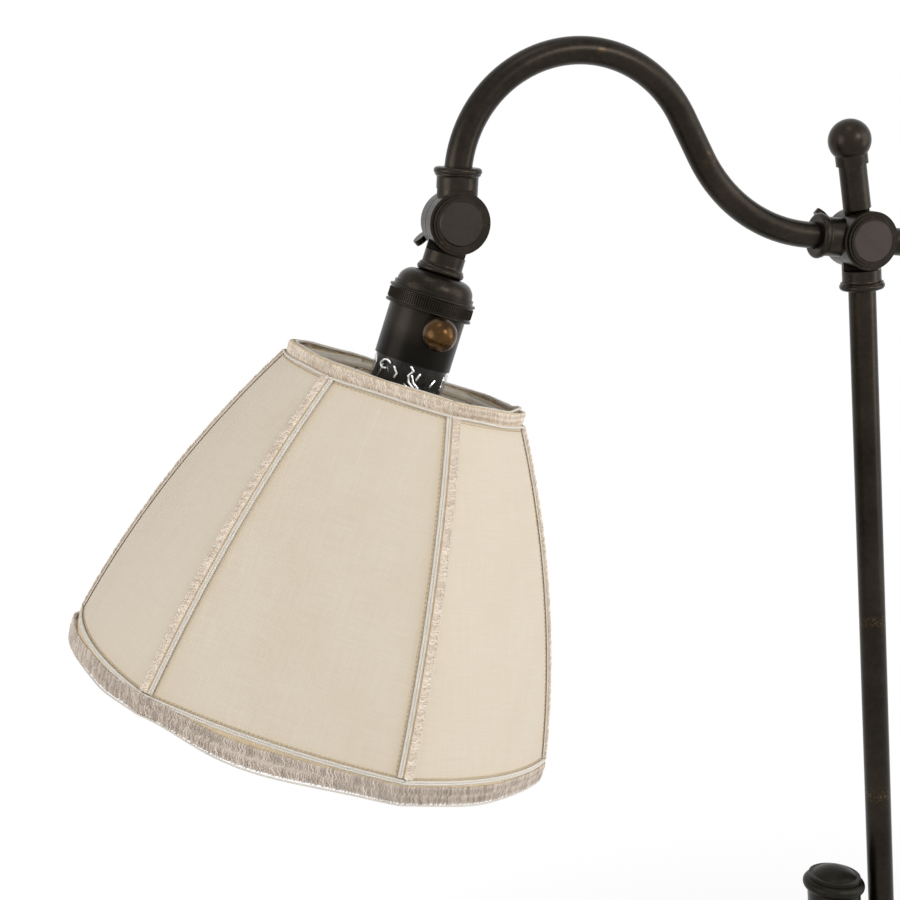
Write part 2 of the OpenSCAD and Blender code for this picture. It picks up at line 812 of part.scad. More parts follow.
// Dome with a ledge round its foot, and a nipple that goes up into the knuckle's collar
module socket_cap() {
    dome_r = socket_cap_h - cap_ledge_h;
    dome_z = ring_z - cap_ledge_h;
    flat_r = shell_d / 2 - dome_r;
    color(bronze) at_socket() {
        turned() difference() {
            union() {
                translate([0, socket_top]) square([flat_r, socket_cap_h]);
                intersection() {
                    translate([flat_r, dome_z]) circle(r = dome_r);
                    translate([0, socket_top]) square([shell_d, dome_r + lap]);
                }
                translate([0, dome_z]) square([cap_ledge_r, cap_ledge_h]);
            }
            intersection() {
                translate([flat_r, dome_z]) circle(r = dome_r - shell_wall);
                translate([0, socket_top]) square([shell_d, dome_r + lap]);
            }
            translate([0, socket_top + shell_wall]) square([flat_r, socket_cap_h]);
            translate([0, dome_z]) square([shell_d / 2 - shell_wall, socket_cap_h]);
        }
        translate([0, 0, -socket_top - shell_wall / 2])
            cylinder(r = pipe_d / 2, h = collar_depth - gap + shell_wall / 2);
    }
}

// Ring with a thin bead along each edge and a sunk band between them
module socket_ring() {
    color(bronze) at_socket() turned() difference() {
        union() {
            translate([0, ring_z]) square([socket_ring_d / 2 - ring_bead_r, socket_ring_h]);
            for (at = [ring_bead_r, socket_ring_h - ring_bead_r]) {
                translate([socket_ring_d / 2 - ring_bead_r, ring_z + at]) circle(r = ring_bead_r);
            }
        }
        translate([0, ring_z - 1]) square([shell_d / 2 + fit, socket_ring_h + 2]);
    }
}

module socket_shell() {
    color(bronze) at_socket() difference() {
        translate([0, 0, -shell_end]) tube(shell_d / 2, shell_wall, shell_end - ring_z);
        switch_hole(switch_d / 2 + gap);
    }
}

module socket_liner() {
    color(phenolic) at_socket() difference() {
        turned() translate([liner_r - liner_wall, 0]) {
            translate([0, body_top]) square([liner_wall, liner_end - body_top]);
            translate([0, lip_z]) square([liner_lip_r - liner_r + liner_wall, liner_lip_t]);
        }
        switch_hole(switch_d / 2 + gap);
    }
}

module socket_body() {
    color(phenolic) at_socket() difference() {
        translate([0, 0, -body_end]) cylinder(r = liner_r - liner_wall - 0.1, h = body_end - body_top);
        switch_hole(switch_d / 2 + fit);
    }
}

module screw_shell() {
    color(brass) at_socket() translate([0, 0, -liner_end + 1])
        tube(screw_shell_r, screw_shell_wall, liner_end - 1 - body_end);
}

module centre_contact() {
    color(brass) at_socket() translate([0, 0, -body_end - contact_h]) cylinder(r = 4, h = contact_h);
}

module switch_shaft() {
    color(brass) at_socket() translate([0, 0, -switch_z]) rotate([90, 0, 0])
        translate([0, 0, gap]) cylinder(r = switch_d / 2, h = knob_reach - knob_d / 4);
}

module switch_knob() {
    color(aged_brass) at_socket() translate([0, -knob_reach, -switch_z]) difference() {
        union() {
            sphere(r = knob_d / 2);
            rod_y(switch_d / 2 + 1.4, 0, knob_d / 2 + 0.9);
        }
        rod_y(switch_d / 2 + fit, -knob_d / 4 + gap, knob_d);
    }
}

module film_sleeve() {
    film_l = liner_l - 8;
    color(clear) at_socket() translate([0, 0, -shell_end - film_l - gap])
        tube(liner_r + film_t + 0.15, film_t, film_l);
}

module bulb_cap() {
    color(brass) at_socket() turned() difference() {
        union() {
            translate([0, bulb_cap_top + 2]) square([bulb_cap_r, bulb_cap_l - 2]);
            translate([0, bulb_cap_top]) square([bulb_cap_r / 2, 3]);
        }
        translate([0, bulb_cap_top + 4]) square([bulb_cap_r - bulb_wall, bulb_cap_l]);
    }
}

module bulb_glass() {
    color(clear) at_socket() turned() intersection() {
        difference() {
            bulb_profile(bulb_d / 2, bulb_neck_r);
            bulb_profile(bulb_d / 2 - bulb_wall, bulb_neck_r - bulb_wall);
        }
        translate([0, bulb_top]) square([bulb_d, bulb_d + bulb_neck]);
    }
}

// Round globe with a cone tangent to it that narrows to the neck
module bulb_profile(globe_r, neck_r) {
    tangent = [globe_r * cos(bulb_tangent), bulb_z - globe_r * sin(bulb_tangent)];
    flare_l = (tangent[0] - neck_r) / tan(bulb_tangent);
    translate([0, bulb_z]) circle(r = globe_r, $fn = 96);
    polygon([[0, bulb_top - 1], [neck_r, bulb_top - 1], [neck_r, tangent[1] - flare_l],
             tangent, [0, tangent[1]]]);
}

// Wire ring inside the cloth at a distance s below the top rim, one arc a panel, welded at the ribs
module wire_ring(s) {
    half = panel_angle / 2;
    corner = panel_radius(s, half, wire_inset);
    sweep = atan2(corner * sin(half), corner * cos(half) - section_c(s));
    translate([0, 0, -shade_drop - s]) for (i = [0:rib_count - 1]) {
        rotate([0, 0, rib_turn - 90 + i * panel_angle]) {
            translate([corner, 0, 0]) sphere(r = wire_d / 2 + weld);
            rotate([0, 0, half]) translate([section_c(s), 0, 0]) rotate([0, 0, -sweep])
                rotate_extrude(angle = 2 * sweep, $fn = 180)
                translate([section_r(s) - wire_inset, 0]) circle(r = wire_d / 2, $fn = 24);
        }
    }
}

// Rib wire on the ribs' common circle
module rib_wire() {
    r = rib_arc_r - wire_inset;
    trim = wire_d / rib_arc_r * degrees;
    translate([arc_x, 0, -shade_drop - arc_s]) rotate([90, 0, 0])
        rotate([0, 0, rib_slope - rib_sweep / 2 + trim])
        rotate_extrude(angle = rib_sweep - 2 * trim, $fn = 360)
        translate([r, 0]) circle(r = wire_d / 2, $fn = 24);
}

module shade_frame() {
    color(steel) at_socket() {
        wire_ring(wire_d);
        wire_ring(shade_h - wire_d);
        for (i = [0:rib_count - 1]) {
            rotate([0, 0, rib_turn - 90 + i * panel_angle]) rib_wire();
        }
    }
}

// Flat ring round the liner with three wire arms up to the shade's top ring
module shade_fitter() {
    arm_r = panel_radius(wire_d, 0, wire_inset) - wire_d / 2 - gap / 2;
    seat_z = lip_z + liner_lip_t;
    seat_r = fitter_r - fitter_edge;
    fall = seat_z + fitter_t / 2 - shade_drop - wire_d;
    color(steel) at_socket() {
        translate([0, 0, -seat_z - fitter_t]) difference() {
            cylinder(r = fitter_r, h = fitter_t);
            translate([0, 0, -1]) cylinder(r = liner_r + gap, h = fitter_t + 2);
        }
        for (i = [0:2]) {
            rotate([0, 0, rib_turn - 60 + i * 120]) translate([arm_r, 0, -shade_drop - wire_d])
                rotate([0, atan2(seat_r - arm_r, -fall), 0])
                cylinder(r = wire_d / 2, h = norm([arm_r - seat_r, fall]));
        }
    }
}

module shade_nut() {
    nut_l = liner_end - lip_z - liner_lip_t - fitter_t;
    color(phenolic) at_socket() translate([0, 0, -liner_end]) difference() {
        cylinder(r = fitter_r - 2 * fitter_edge, h = nut_l);
        translate([0, 0, -1]) cylinder(r = liner_r + fit, h = nut_l + 2);
    }
}

// Point of the cloth: row down the shade, column across a panel, and a depth inwards
function cloth_point(row, column, depth) =
    let (s = shade_h * row / panel_rows,
         edge = panel_seam / rib_radius(s) * degrees,
         a = (panel_angle - 2 * edge) * (column / panel_columns - 0.5),
         r = panel_radius(s, a) - depth)
    [r * cos(a), r * sin(a), -shade_drop - s];

// One cloth panel between two ribs, pulled in between them
module cloth_panel() {
    across = panel_columns + 1;
    side = across * (panel_rows + 1);
    points = [for (depth = [0, cloth_t]) for (i = [0:panel_rows]) for (j = [0:panel_columns])
        cloth_point(i, j, depth)];
    quads = [for (i = [0:panel_rows - 1]) for (j = [0:panel_columns - 1])
        [i * across + j, i * across + j + 1, (i + 1) * across + j + 1, (i + 1) * across + j]];
    edge_loop = concat([for (j = [0:panel_columns - 1]) j],
        [for (i = [0:panel_rows - 1]) i * across + panel_columns],
        [for (j = [panel_columns:-1:1]) panel_rows * across + j],
        [for (i = [panel_rows:-1:1]) i * across]);
    n = len(edge_loop);
    outer = [for (q = quads) each [[q[0], q[1], q[2]], [q[0], q[2], q[3]]]];
    inner = [for (f = outer) [f[0] + side, f[2] + side, f[1] + side]];
    walls = [for (k = [0:n - 1]) let (a = edge_loop[k], b = edge_loop[(k + 1) % n])
        each [[a, a + side, b + side], [a, b + side, b]]];
    polyhedron(points, concat(outer, inner, walls));
}

module shade_cloth() {
    color(cloth) at_socket() for (i = [0:rib_count - 1]) {
        rotate([0, 0, rib_turn - 90 + (i + 0.5) * panel_angle]) cloth_panel();
    }
}

// Corners of the braid strip over a rib, at a distance s below the top rim
function strip_corners(s) =
    let (r = rib_radius(s) + braid_gap, w = braid_w / 2)
    [[r, -w, -shade_drop - s], [r + braid_t, -w, -shade_drop - s],
     [r + braid_t, w, -shade_drop - s], [r, w, -shade_drop - s]];

module rib_strip() {
    first = top_braid_w - braid_rise + braid_meet;
    last = shade_h + braid_hang - bottom_braid_w - braid_meet;
    points = [for (i = [0:braid_rows]) each strip_corners(first + (last - first) * i / braid_rows)];
    sides = [for (i = [0:braid_rows - 1]) for (k = [0:3])
        let (a = i * 4 + k, b = i * 4 + (k + 1) % 4)
        each [[a, b, b + 4], [a, b + 4, a + 4]]];
    end = braid_rows * 4;
    polyhedron(points, concat(sides, [[0, 2, 1], [0, 3, 2],
        [end, end + 1, end + 2], [end, end + 2, end + 3]]));
}

module rib_braid() {
    color(gimp) at_socket() for (i = [0:rib_count - 1]) {
        rotate([0, 0, rib_turn - 90 + i * panel_angle]) rib_strip();
    }
}

// Point at a turn round the shade's axis, at a radius and a distance s below the top rim
function rim_point(r, turn, s) = [r * cos(turn), r * sin(turn), -shade_drop - s];
// Corners of the braid round a rim at its k-th station, from one distance to another below the top rim,
// outside the cloth's sections at two more distances
function rim_corners(k, from, to, from_section, to_section) =
    let (step = panel_angle / panel_columns,
         a = (k % panel_columns) * step - panel_angle / 2,
         upper = panel_radius(from_section, a) + braid_gap,
         lower = panel_radius(to_section, a) + braid_gap)
    [rim_point(upper, k * step, from), rim_point(upper + braid_t, k * step, from),
     rim_point(lower + braid_t, k * step, to), rim_point(lower, k * step, to)];

module rim_strip(from, to, from_section, to_section) {
    n = rib_count * panel_columns;
    points = [for (k = [0:n - 1]) each rim_corners(k, from, to, from_section, to_section)];
    sides = [for (k = [0:n - 1]) for (c = [0:3])
        let (a = k * 4 + c, b = k * 4 + (c + 1) % 4, next = (k + 1) % n * 4,
             a_next = next + c, b_next = next + (c + 1) % 4)
        each [[a, a_next, b_next], [a, b_next, b]]];
    rotate([0, 0, rib_turn - 90]) polyhedron(points, sides);
}

// The top braid follows the slope of the cloth, and the bottom braid hangs straight from the rim
module rim_braid() {
    top_end = top_braid_w - braid_rise;
    bottom_end = shade_h + braid_hang;
    color(gimp) at_socket() {
        rim_strip(-braid_rise, top_end, -braid_rise, top_end);
        rim_strip(bottom_end - bottom_braid_w, bottom_end, shade_h, shade_h);
    }
}

felt_pad();
base_weight();
base_cover();
cord_bushing();
base_washer();
base_nut();
lamp_pipe();
column_foot();
column();
rest_ring();
column_cap();
bracket();
post_screw();
column_screw();
post();
post_stop();
hub_rear();
finial();
hub_front();
hub_cover();
hub_bolt();
hub_washer();
hub_wing_nut();
tail_finial();
arm_tube();
knuckle_front();
knuckle_cover();
knuckle_bolt();
knuckle_washer();
knuckle_wing_nut();
knuckle_rear();
socket_cap();
socket_ring();
socket_shell();
socket_liner();
socket_body();
screw_shell();
centre_contact();
switch_shaft();
switch_knob();
film_sleeve();
bulb_cap();
bulb_glass();
shade_frame();
shade_fitter();
shade_nut();
shade_cloth();
rib_braid();
rim_braid();
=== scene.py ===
import json
import math
import random

import bmesh
import bpy
import numpy as np
from mathutils import Matrix, Vector


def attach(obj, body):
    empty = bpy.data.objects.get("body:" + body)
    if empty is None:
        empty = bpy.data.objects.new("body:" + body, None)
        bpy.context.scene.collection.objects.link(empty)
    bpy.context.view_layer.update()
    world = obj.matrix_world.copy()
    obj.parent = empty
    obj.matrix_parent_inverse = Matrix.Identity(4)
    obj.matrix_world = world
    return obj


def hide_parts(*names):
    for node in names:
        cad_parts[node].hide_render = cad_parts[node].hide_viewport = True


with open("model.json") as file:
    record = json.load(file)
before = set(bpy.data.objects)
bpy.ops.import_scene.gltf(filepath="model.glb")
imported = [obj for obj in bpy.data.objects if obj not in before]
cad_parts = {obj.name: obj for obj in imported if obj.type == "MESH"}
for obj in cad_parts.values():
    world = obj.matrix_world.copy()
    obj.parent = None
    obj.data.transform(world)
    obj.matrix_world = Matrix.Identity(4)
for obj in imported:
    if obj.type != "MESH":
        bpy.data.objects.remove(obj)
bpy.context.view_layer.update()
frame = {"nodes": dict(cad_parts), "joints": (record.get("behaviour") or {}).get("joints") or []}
nodes = frame["nodes"]
pivots = {joint["name"]: Vector(joint["pos_m"]) for joint in frame["joints"] if "pos_m" in joint}

# Camera
# The photograph's view: from the left of the front and a little above the arm, through a long lens,
# with the picture rolled a few degrees, which makes the post lean.
hub_pivot = pivots["arm_tilt"]
camera_from_hub = Vector((-0.3707, -0.6738, 0.1096))
view_azimuth = math.radians(-15)
view_elevation = math.radians(14)
view_roll = math.radians(-5.18)
view_back = Vector((math.sin(view_azimuth) * math.cos(view_elevation),
                    -math.cos(view_azimuth) * math.cos(view_elevation),
                    math.sin(view_elevation)))
level_right = Vector((math.cos(view_azimuth), math.sin(view_azimuth), 0))
level_up = view_back.cross(level_right)
view_right = level_right * math.cos(view_roll) + level_up * math.sin(view_roll)
view_up = view_back.cross(view_right)
camera_data = bpy.data.cameras.new("camera")
camera_data.sensor_width = 36
camera_data.lens = 70
camera = bpy.data.objects.new("camera", camera_data)
camera_turn = Matrix((view_right, view_up, view_back)).transposed().to_4x4()
camera.matrix_world = Matrix.Translation(hub_pivot + camera_from_hub) @ camera_turn
bpy.context.scene.collection.objects.link(camera)
bpy.context.scene.camera = camera
bpy.context.scene.view_settings.view_transform = "Standard"


# Studio
# A pale floor in a white surround, with soft round lights at the front right, the right, low on the right,
# the left and above. The camera, gloss and glass see plain white, and the floor keeps the lamp's shadow.
def soft_light(name, place, aim, size, power):
    data = bpy.data.lights.new(name, "AREA")
    data.shape = "DISK"
    data.size = size
    data.energy = power
    light = bpy.data.objects.new(name, data)
    light.location = place
    light.rotation_mode = "QUATERNION"
    light.rotation_quaternion = (Vector(aim) - Vector(place)).to_track_quat("-Z", "Y")
    bpy.context.scene.collection.objects.link(light)


light_aim = (-0.12, 0, 0.42)
soft_light("key_light", (0.5, -1.25, 1.05), light_aim, 0.5, 6.1)
soft_light("right_light", (1.13, -0.6, 0.7), light_aim, 1.0, 5.6)
soft_light("low_light", (1.1, -0.65, 0.1), light_aim, 0.45, 2.2)
soft_light("left_light", (-1.45, -0.25, 0.75), light_aim, 1.0, 7.0)
soft_light("top_light", (-0.2, -0.35, 1.75), light_aim, 0.5, 1.5)


class Socket:
    """A shader socket, so that a finish is written as maths: an expression adds its Math nodes, and any other
    node comes from add(), which sets the node's own settings before its sockets."""

    def __init__(self, tree, out=None):
        self.tree = tree
        self.out = out

    def add(self, kind, settings=None, values=None, out=0):
        made = self.tree.nodes.new(kind)
        for key, value in (settings or {}).items():
            setattr(made, key, value)
        for key, value in (values or {}).items():
            if isinstance(value, Socket):
                self.tree.links.new(value.out, made.inputs[key])
            elif isinstance(value, tuple) and len(value) == 3 and made.inputs[key].type == "RGBA":
                made.inputs[key].default_value = (*value, 1)
            else:
                made.inputs[key].default_value = value
        return Socket(self.tree, made.outputs[out]) if made.outputs else None

    def math(self, operation, first, second=0.0):
        return self.add("ShaderNodeMath", {"operation": operation}, {0: first, 1: second})

    def __add__(self, other):
        return self.math("ADD", self, other)

    def __radd__(self, other):
        return self.math("ADD", other, self)

    def __sub__(self, other):
        return self.math("SUBTRACT", self, other)

    def __rsub__(self, other):
        return self.math("SUBTRACT", other, self)

    def __mul__(self, other):
        return self.math("MULTIPLY", self, other)

    def __rmul__(self, other):
        return self.math("MULTIPLY", other, self)

    def __abs__(self):
        return self.math("ABSOLUTE", self)

    def span(self, low, high):
        return self.add("ShaderNodeMapRange", {"clamp": True}, {0: self, 1: low, 2: high})

    def noise(self, scale, detail=2.0, roughness=0.5):
        return self.add("ShaderNodeTexNoise", None,
                        {"Vector": self, "Scale": scale, "Detail": detail, "Roughness": roughness})

    def stretched(self, scale, turn=(0.0, 0.0, 0.0)):
        return self.add("ShaderNodeMapping", None, {"Vector": self, "Scale": scale, "Rotation": turn})

    def tint(self, mask, low, high):
        return self.add("ShaderNodeMix", {"data_type": "RGBA"}, {0: mask, 6: low, 7: high}, out=2)

    def mottled(self, dark, pale):
        """A colour that goes from dark to pale as this value does over its middle range."""
        return self.tint(self.span(0.3, 0.7), dark, pale)

    def along(self, direction, origin):
        """The distance of a place from an origin, measured along a direction."""
        offset = self.add("ShaderNodeVectorMath", {"operation": "SUBTRACT"}, {0: self, 1: tuple(origin)})
        return self.add("ShaderNodeVectorMath", {"operation": "DOT_PRODUCT"},
                        {0: offset, 1: tuple(direction)}, out="Value")

    def seen(self):
        """1 for what the camera, gloss and glass see, and 0 for what lights the lamp."""
        shown, mirrored, refracted = (
            self.add("ShaderNodeLightPath", out=ray)
            for ray in ("Is Camera Ray", "Is Glossy Ray", "Is Transmission Ray"))
        return self.math("MAXIMUM", self.math("MAXIMUM", shown, mirrored), refracted)

    def bump(self, depth, strength):
        return self.add("ShaderNodeBump", None, {"Height": self, "Distance": depth, "Strength": strength})


def new_finish(name):
    material = bpy.data.materials.new(name)
    material.use_nodes = True
    tree = material.node_tree
    tree.nodes.clear()
    place = Socket(tree).add("ShaderNodeTexCoord", out="Object")
    return material, place


world = bpy.data.worlds.new("studio")
bpy.context.scene.world = world
world.use_nodes = True
world.node_tree.nodes.clear()
surround = Socket(world.node_tree)
ambient = 0.5
glow = surround.add("ShaderNodeBackground", None,
                    {"Color": (1.0, 1.0, 1.0), "Strength": ambient + surround.seen() * (1 - ambient)})
surround.add("ShaderNodeOutputWorld", None, {"Surface": glow})

floor_half = 40.0
floor_mesh = bpy.data.meshes.new("floor")
floor_mesh.from_pydata([(-floor_half, -floor_half, 0), (floor_half, -floor_half, 0),
                        (floor_half, floor_half, 0), (-floor_half, floor_half, 0)], [], [(0, 1, 2, 3)])
floor = bpy.data.objects.new("floor", floor_mesh)
bpy.context.scene.collection.objects.link(floor)
floor_finish, floor_place = new_finish("pale_floor")
paper = floor_place.add("ShaderNodeBsdfDiffuse", None, {"Color": (0.82, 0.82, 0.82)})
white = floor_place.add("ShaderNodeEmission", None, {"Color": (1.0, 1.0, 1.0), "Strength": 1.0})
from_base = floor_place.add("ShaderNodeVectorMath", {"operation": "LENGTH"}, {0: floor_place}, out="Value")
shadow_white, shadow_near, shadow_far = 0.72, 0.12, 0.42
whiteness = shadow_white + from_base.span(shadow_near, shadow_far) * (1 - shadow_white)
floor_mix = floor_place.add("ShaderNodeMixShader", None,
                            {0: floor_place.seen() * whiteness, 1: paper, 2: white})
floor_place.add("ShaderNodeOutputMaterial", None, {"Surface": floor_mix})
floor_mesh.materials.append(floor_finish)


# Base
# A spun brass cover over a cast-iron weight, closed below by felt and held by a threaded pipe and nuts.
# The cover and the foot share the dark patina of the column, the bracket, the swivels and the arm.
def set_finish(place, **values):
    surface = place.add("ShaderNodeBsdfPrincipled", None, {k.replace("_", " "): v for k, v in values.items()})
    place.add("ShaderNodeOutputMaterial", None, {"Surface": surface})


def finish_nodes(material, *names):
    for name in names:
        mesh = nodes[name].data
        mesh.materials.clear()
        mesh.materials.append(material)


def browned(place, dark, mid):
    """The cloudy brown of the patina, and the fine mottle in it."""
    clouds = place.noise(38, 3, 0.55)
    mottle = place.noise(420, 2, 0.6)
    return place.tint((clouds * 0.75 + mottle * 0.35).span(0.35, 0.75), dark, mid), mottle


def patina(name, dark, mid, gold, wear, roughness=0.33):
    """Chemically browned brass, rubbed through to a golder tone in places as it wears."""
    material, place = new_finish(name)
    brown, mottle = browned(place, dark, mid)
    grain = place.noise(2600, 2, 0.6)
    rubbed = (place.noise(95, 4, 0.62) * 0.7 + mottle * 0.3).span(0.62 - 0.06 * wear, 0.72 - 0.04 * wear)
    colour = place.tint(rubbed * (0.45 * wear), brown, gold)
    gloss = roughness + (mottle - 0.5) * 0.18 - rubbed * 0.05
    relief = (mottle * 0.6 + grain * 0.4).bump(0.00012, 0.35)
    set_finish(place, Base_Color=colour, Roughness=gloss, Metallic=0.85, Specular_IOR_Level=0.3,
               Normal=relief)
    return material


brown_dark = (0.0145, 0.0115, 0.0083)
brown_mid = (0.032, 0.0255, 0.0192)
brass_gold = (0.20, 0.125, 0.055)
bronze = patina("brown_patina", brown_dark, brown_mid, brass_gold, 0.35)
finish_nodes(bronze, "base_cover", "column_foot", "column", "rest_ring", "bracket", "post_screw",
             "column_screw", "post_stop", "hub_rear", "finial", "hub_front", "hub_wing_nut", "tail_finial",
             "arm_tube", "knuckle_front", "knuckle_wing_nut", "knuckle_rear", "socket_cap", "socket_ring")

felt_finish, felt_place = new_finish("dark_felt")
felt_fuzz = felt_place.noise(900, 4, 0.7)
felt_tone = felt_fuzz.mottled((0.010, 0.018, 0.012), (0.030, 0.045, 0.033))
set_finish(felt_place, Base_Color=felt_tone, Roughness=0.95, Normal=felt_fuzz.bump(0.0006, 0.6))
finish_nodes(felt_finish, "felt_pad")

iron_finish, iron_place = new_finish("raw_casting")
iron_grain = iron_place.noise(350, 5, 0.65)
iron_tone = iron_grain.mottled((0.035, 0.034, 0.035), (0.09, 0.085, 0.082))
set_finish(iron_place, Base_Color=iron_tone, Metallic=0.7, Roughness=0.62 + (iron_grain - 0.5) * 0.3,
           Normal=iron_grain.bump(0.0006, 0.5))
finish_nodes(iron_finish, "base_weight")

steel_finish, steel_place = new_finish("zinc_steel")
steel_cloud = steel_place.noise(180, 3)
steel_tone = steel_cloud.mottled((0.30, 0.30, 0.29), (0.47, 0.47, 0.46))
set_finish(steel_place, Base_Color=steel_tone, Metallic=0.95, Roughness=0.36 + (steel_cloud - 0.5) * 0.25)
finish_nodes(steel_finish, "base_washer", "base_nut", "lamp_pipe", "hub_bolt", "knuckle_bolt")

moulded_finish, moulded_place = new_finish("moulded_insulation")
moulded_cloud = moulded_place.noise(240, 3)
moulded_tone = moulded_cloud.mottled((0.010, 0.009, 0.008), (0.022, 0.019, 0.017))
set_finish(moulded_place, Base_Color=moulded_tone, Roughness=0.3 + (moulded_cloud - 0.5) * 0.2,
           Specular_IOR_Level=0.3, Normal=moulded_cloud.bump(0.0001, 0.4))
finish_nodes(moulded_finish, "cord_bushing", "socket_body", "shade_nut", "socket_liner", "hub_washer",
             "knuckle_washer")

# Column cap
# A spun brass cap with a domed top and a rolled rim, set loosely over the column's end, where it leans.
# Its patina is darker and duller than the rest.
cap_finish = patina("dull_patina", (0.0095, 0.0085, 0.006), (0.023, 0.021, 0.0152), (0.06, 0.052, 0.03),
                    0.2, 0.42)
finish_nodes(cap_finish, "column_cap")

# Post
# Drawn brass tube that slides in the bracket. The thumb screw has scratched its patina through to the
# brass in two short bands, each given by its height and the reach to its ends.
scratch_bands = ((0.307, 0.0035), (0.2225, 0.0045))
bared_brass = (0.30, 0.19, 0.06)
post_finish, post_place = new_finish("scratched_patina")
post_brown, post_mottle = browned(post_place, brown_dark, brown_mid)
post_draw = post_place.stretched((900.0, 900.0, 40.0)).noise(1, 3, 0.6)
height = post_place.along((0, 0, 1), (0, 0, 0))
scratch_lines = post_place.stretched((900.0, 900.0, 2600.0), (0.5, 0.35, 0.0)).noise(1, 3, 0.7)
scratches = 0.0
for scratch_z, scratch_reach in scratch_bands:
    near = 1 - abs(height - scratch_z).span(0.2 * scratch_reach, scratch_reach)
    scratches = near + scratches
scratched = scratches * scratch_lines.span(0.56, 0.68)
post_tone = post_place.tint(scratched * 0.7, post_brown, bared_brass)
set_finish(post_place, Base_Color=post_tone, Metallic=0.85, Specular_IOR_Level=0.2,
           Roughness=0.33 + (post_mottle - 0.5) * 0.16 - scratched * 0.1,
           Normal=(post_mottle * 0.5 + post_draw * 0.5).bump(0.0001, 0.35))
finish_nodes(post_finish, "post")

# Swivel covers
# Flat turned brass discs pressed into the front of the hub and the knuckle. The hub's is rubbed paler and
# pinker than the casting round it; the knuckle's has kept more of its brown.
rubbed_gold = (0.10, 0.07, 0.045)
hub_cover_finish = patina("rubbed_patina", (0.042, 0.034, 0.029), (0.056, 0.046, 0.040), rubbed_gold,
                          0.3, 0.46)
finish_nodes(hub_cover_finish, "hub_cover")
knuckle_cover_finish = patina("kept_patina", (0.029, 0.024, 0.019), (0.040, 0.033, 0.027), rubbed_gold,
                              0.2, 0.44)
finish_nodes(knuckle_cover_finish, "knuckle_cover")

# Socket
# A drawn brass shell under a domed cap, locked by a reeded ring. The shell's colour is darker towards its
# lower end.
knuckle_pivot = pivots["shade_tilt"]
switch_place = pivots["knob_turn"]
shade_axis = (switch_place - knuckle_pivot).normalized()
across = Vector((-shade_axis.z, 0, shade_axis.x))
behind = Vector((0, 1, 0))


def round_axis(distance, angle, radius):
    """A point round the socket's axis, at a distance below the knuckle's pivot."""
    outward = across * math.cos(angle) + behind * math.sin(angle)
    return knuckle_pivot + shade_axis * distance + outward * radius, outward


darken_start, darken_end = 0.045, 0.051
shell_finish, shell_place = new_finish("darkened_shell")
shell_clouds = shell_place.noise(60, 3, 0.55)
shell_mottle = shell_place.noise(480, 2, 0.6)
shell_depth = shell_place.along(shade_axis, knuckle_pivot)
# The shell's colour goes darker over this span, towards its lower end.
darkening = (shell_depth + (shell_clouds - 0.5) * 0.006).span(darken_start, darken_end)
shell_brown = shell_clouds.mottled((0.017, 0.014, 0.0105), (0.025, 0.0205, 0.0155))
shell_tone = shell_place.tint(darkening, shell_brown, (0.0085, 0.007, 0.0055))
set_finish(shell_place, Base_Color=shell_tone, Metallic=0.8, Specular_IOR_Level=0.25,
           Roughness=0.36 + (shell_mottle - 0.5) * 0.2, Normal=shell_mottle.bump(0.0001, 0.3))
finish_nodes(shell_finish, "socket_shell")

brass_finish, brass_place = new_finish("bright_brass")
brass_cloud = brass_place.noise(160, 3)
brass_tone = brass_cloud.mottled((0.42, 0.27, 0.09), (0.62, 0.43, 0.18))
set_finish(brass_place, Base_Color=brass_tone, Metallic=1.0, Roughness=0.28 + (brass_cloud - 0.5) * 0.2)
finish_nodes(brass_finish, "screw_shell", "centre_contact", "switch_shaft", "bulb_cap")


# Ring reeding
# Fine upright ribs rolled into the sunk brass band between the ring's two beads. One short rib is set again
# and again along a circle.
def path_object(name, lines):
    """A mesh of open or closed polylines. Each line is (points, outward directions, closed)."""
    points, directions, edges = [], [], []
    for line_points, line_outward, closed in lines:
        first = len(points)
        points += [tuple(p) for p in line_points]
        directions += [tuple(d) for d in line_outward]
        last = len(points) - 1
        edges += [(i, i + 1) for i in range(first, last)]
        if closed:
            edges.append((last, first))
    mesh = bpy.data.meshes.new(name)
    mesh.from_pydata(points, edges, [])
    outward = mesh.attributes.new("outward", "FLOAT_VECTOR", "POINT")
    outward.data.foreach_set("vector", np.array(directions, np.float32).ravel())
    piece = bpy.data.objects.new(name, mesh)
    bpy.context.scene.collection.objects.link(piece)
    return piece


def node_tree(name, inputs):
    """An empty Geometry Nodes tree with named inputs, its group input, and a maker of linked nodes."""
    tree = bpy.data.node_groups.new(name, "GeometryNodeTree")
    tree.interface.new_socket("Path", in_out="INPUT", socket_type="NodeSocketGeometry")
    for label, kind in inputs:
        tree.interface.new_socket(label, in_out="INPUT", socket_type="NodeSocket" + kind)
    tree.interface.new_socket("Result", in_out="OUTPUT", socket_type="NodeSocketGeometry")
    given = tree.nodes.new("NodeGroupInput")

    def made(kind, settings=None, links=None):
        node = tree.nodes.new(kind)
        for key, value in (settings or {}).items():
            setattr(node, key, value)
        for key, value in (links or {}).items():
            if isinstance(value, bpy.types.NodeSocket):
                tree.links.new(value, node.inputs[key])
            else:
                node.inputs[key].default_value = value
        return node

    return tree, given.outputs, made


def run_tree(tree, path, values):
    """Runs a tree on a path and leaves the path's object as the plain mesh that it makes."""
    modifier = path.modifiers.new(tree.name, "NODES")
    modifier.node_group = tree
    for item in tree.interface.items_tree:
        if item.in_out == "INPUT" and item.name in values:
            modifier[item.identifier] = values[item.name]
    graph = bpy.context.evaluated_depsgraph_get()
    mesh = bpy.data.meshes.new_from_object(path.evaluated_get(graph))
    path.modifiers.clear()
    path.data = mesh
    return path


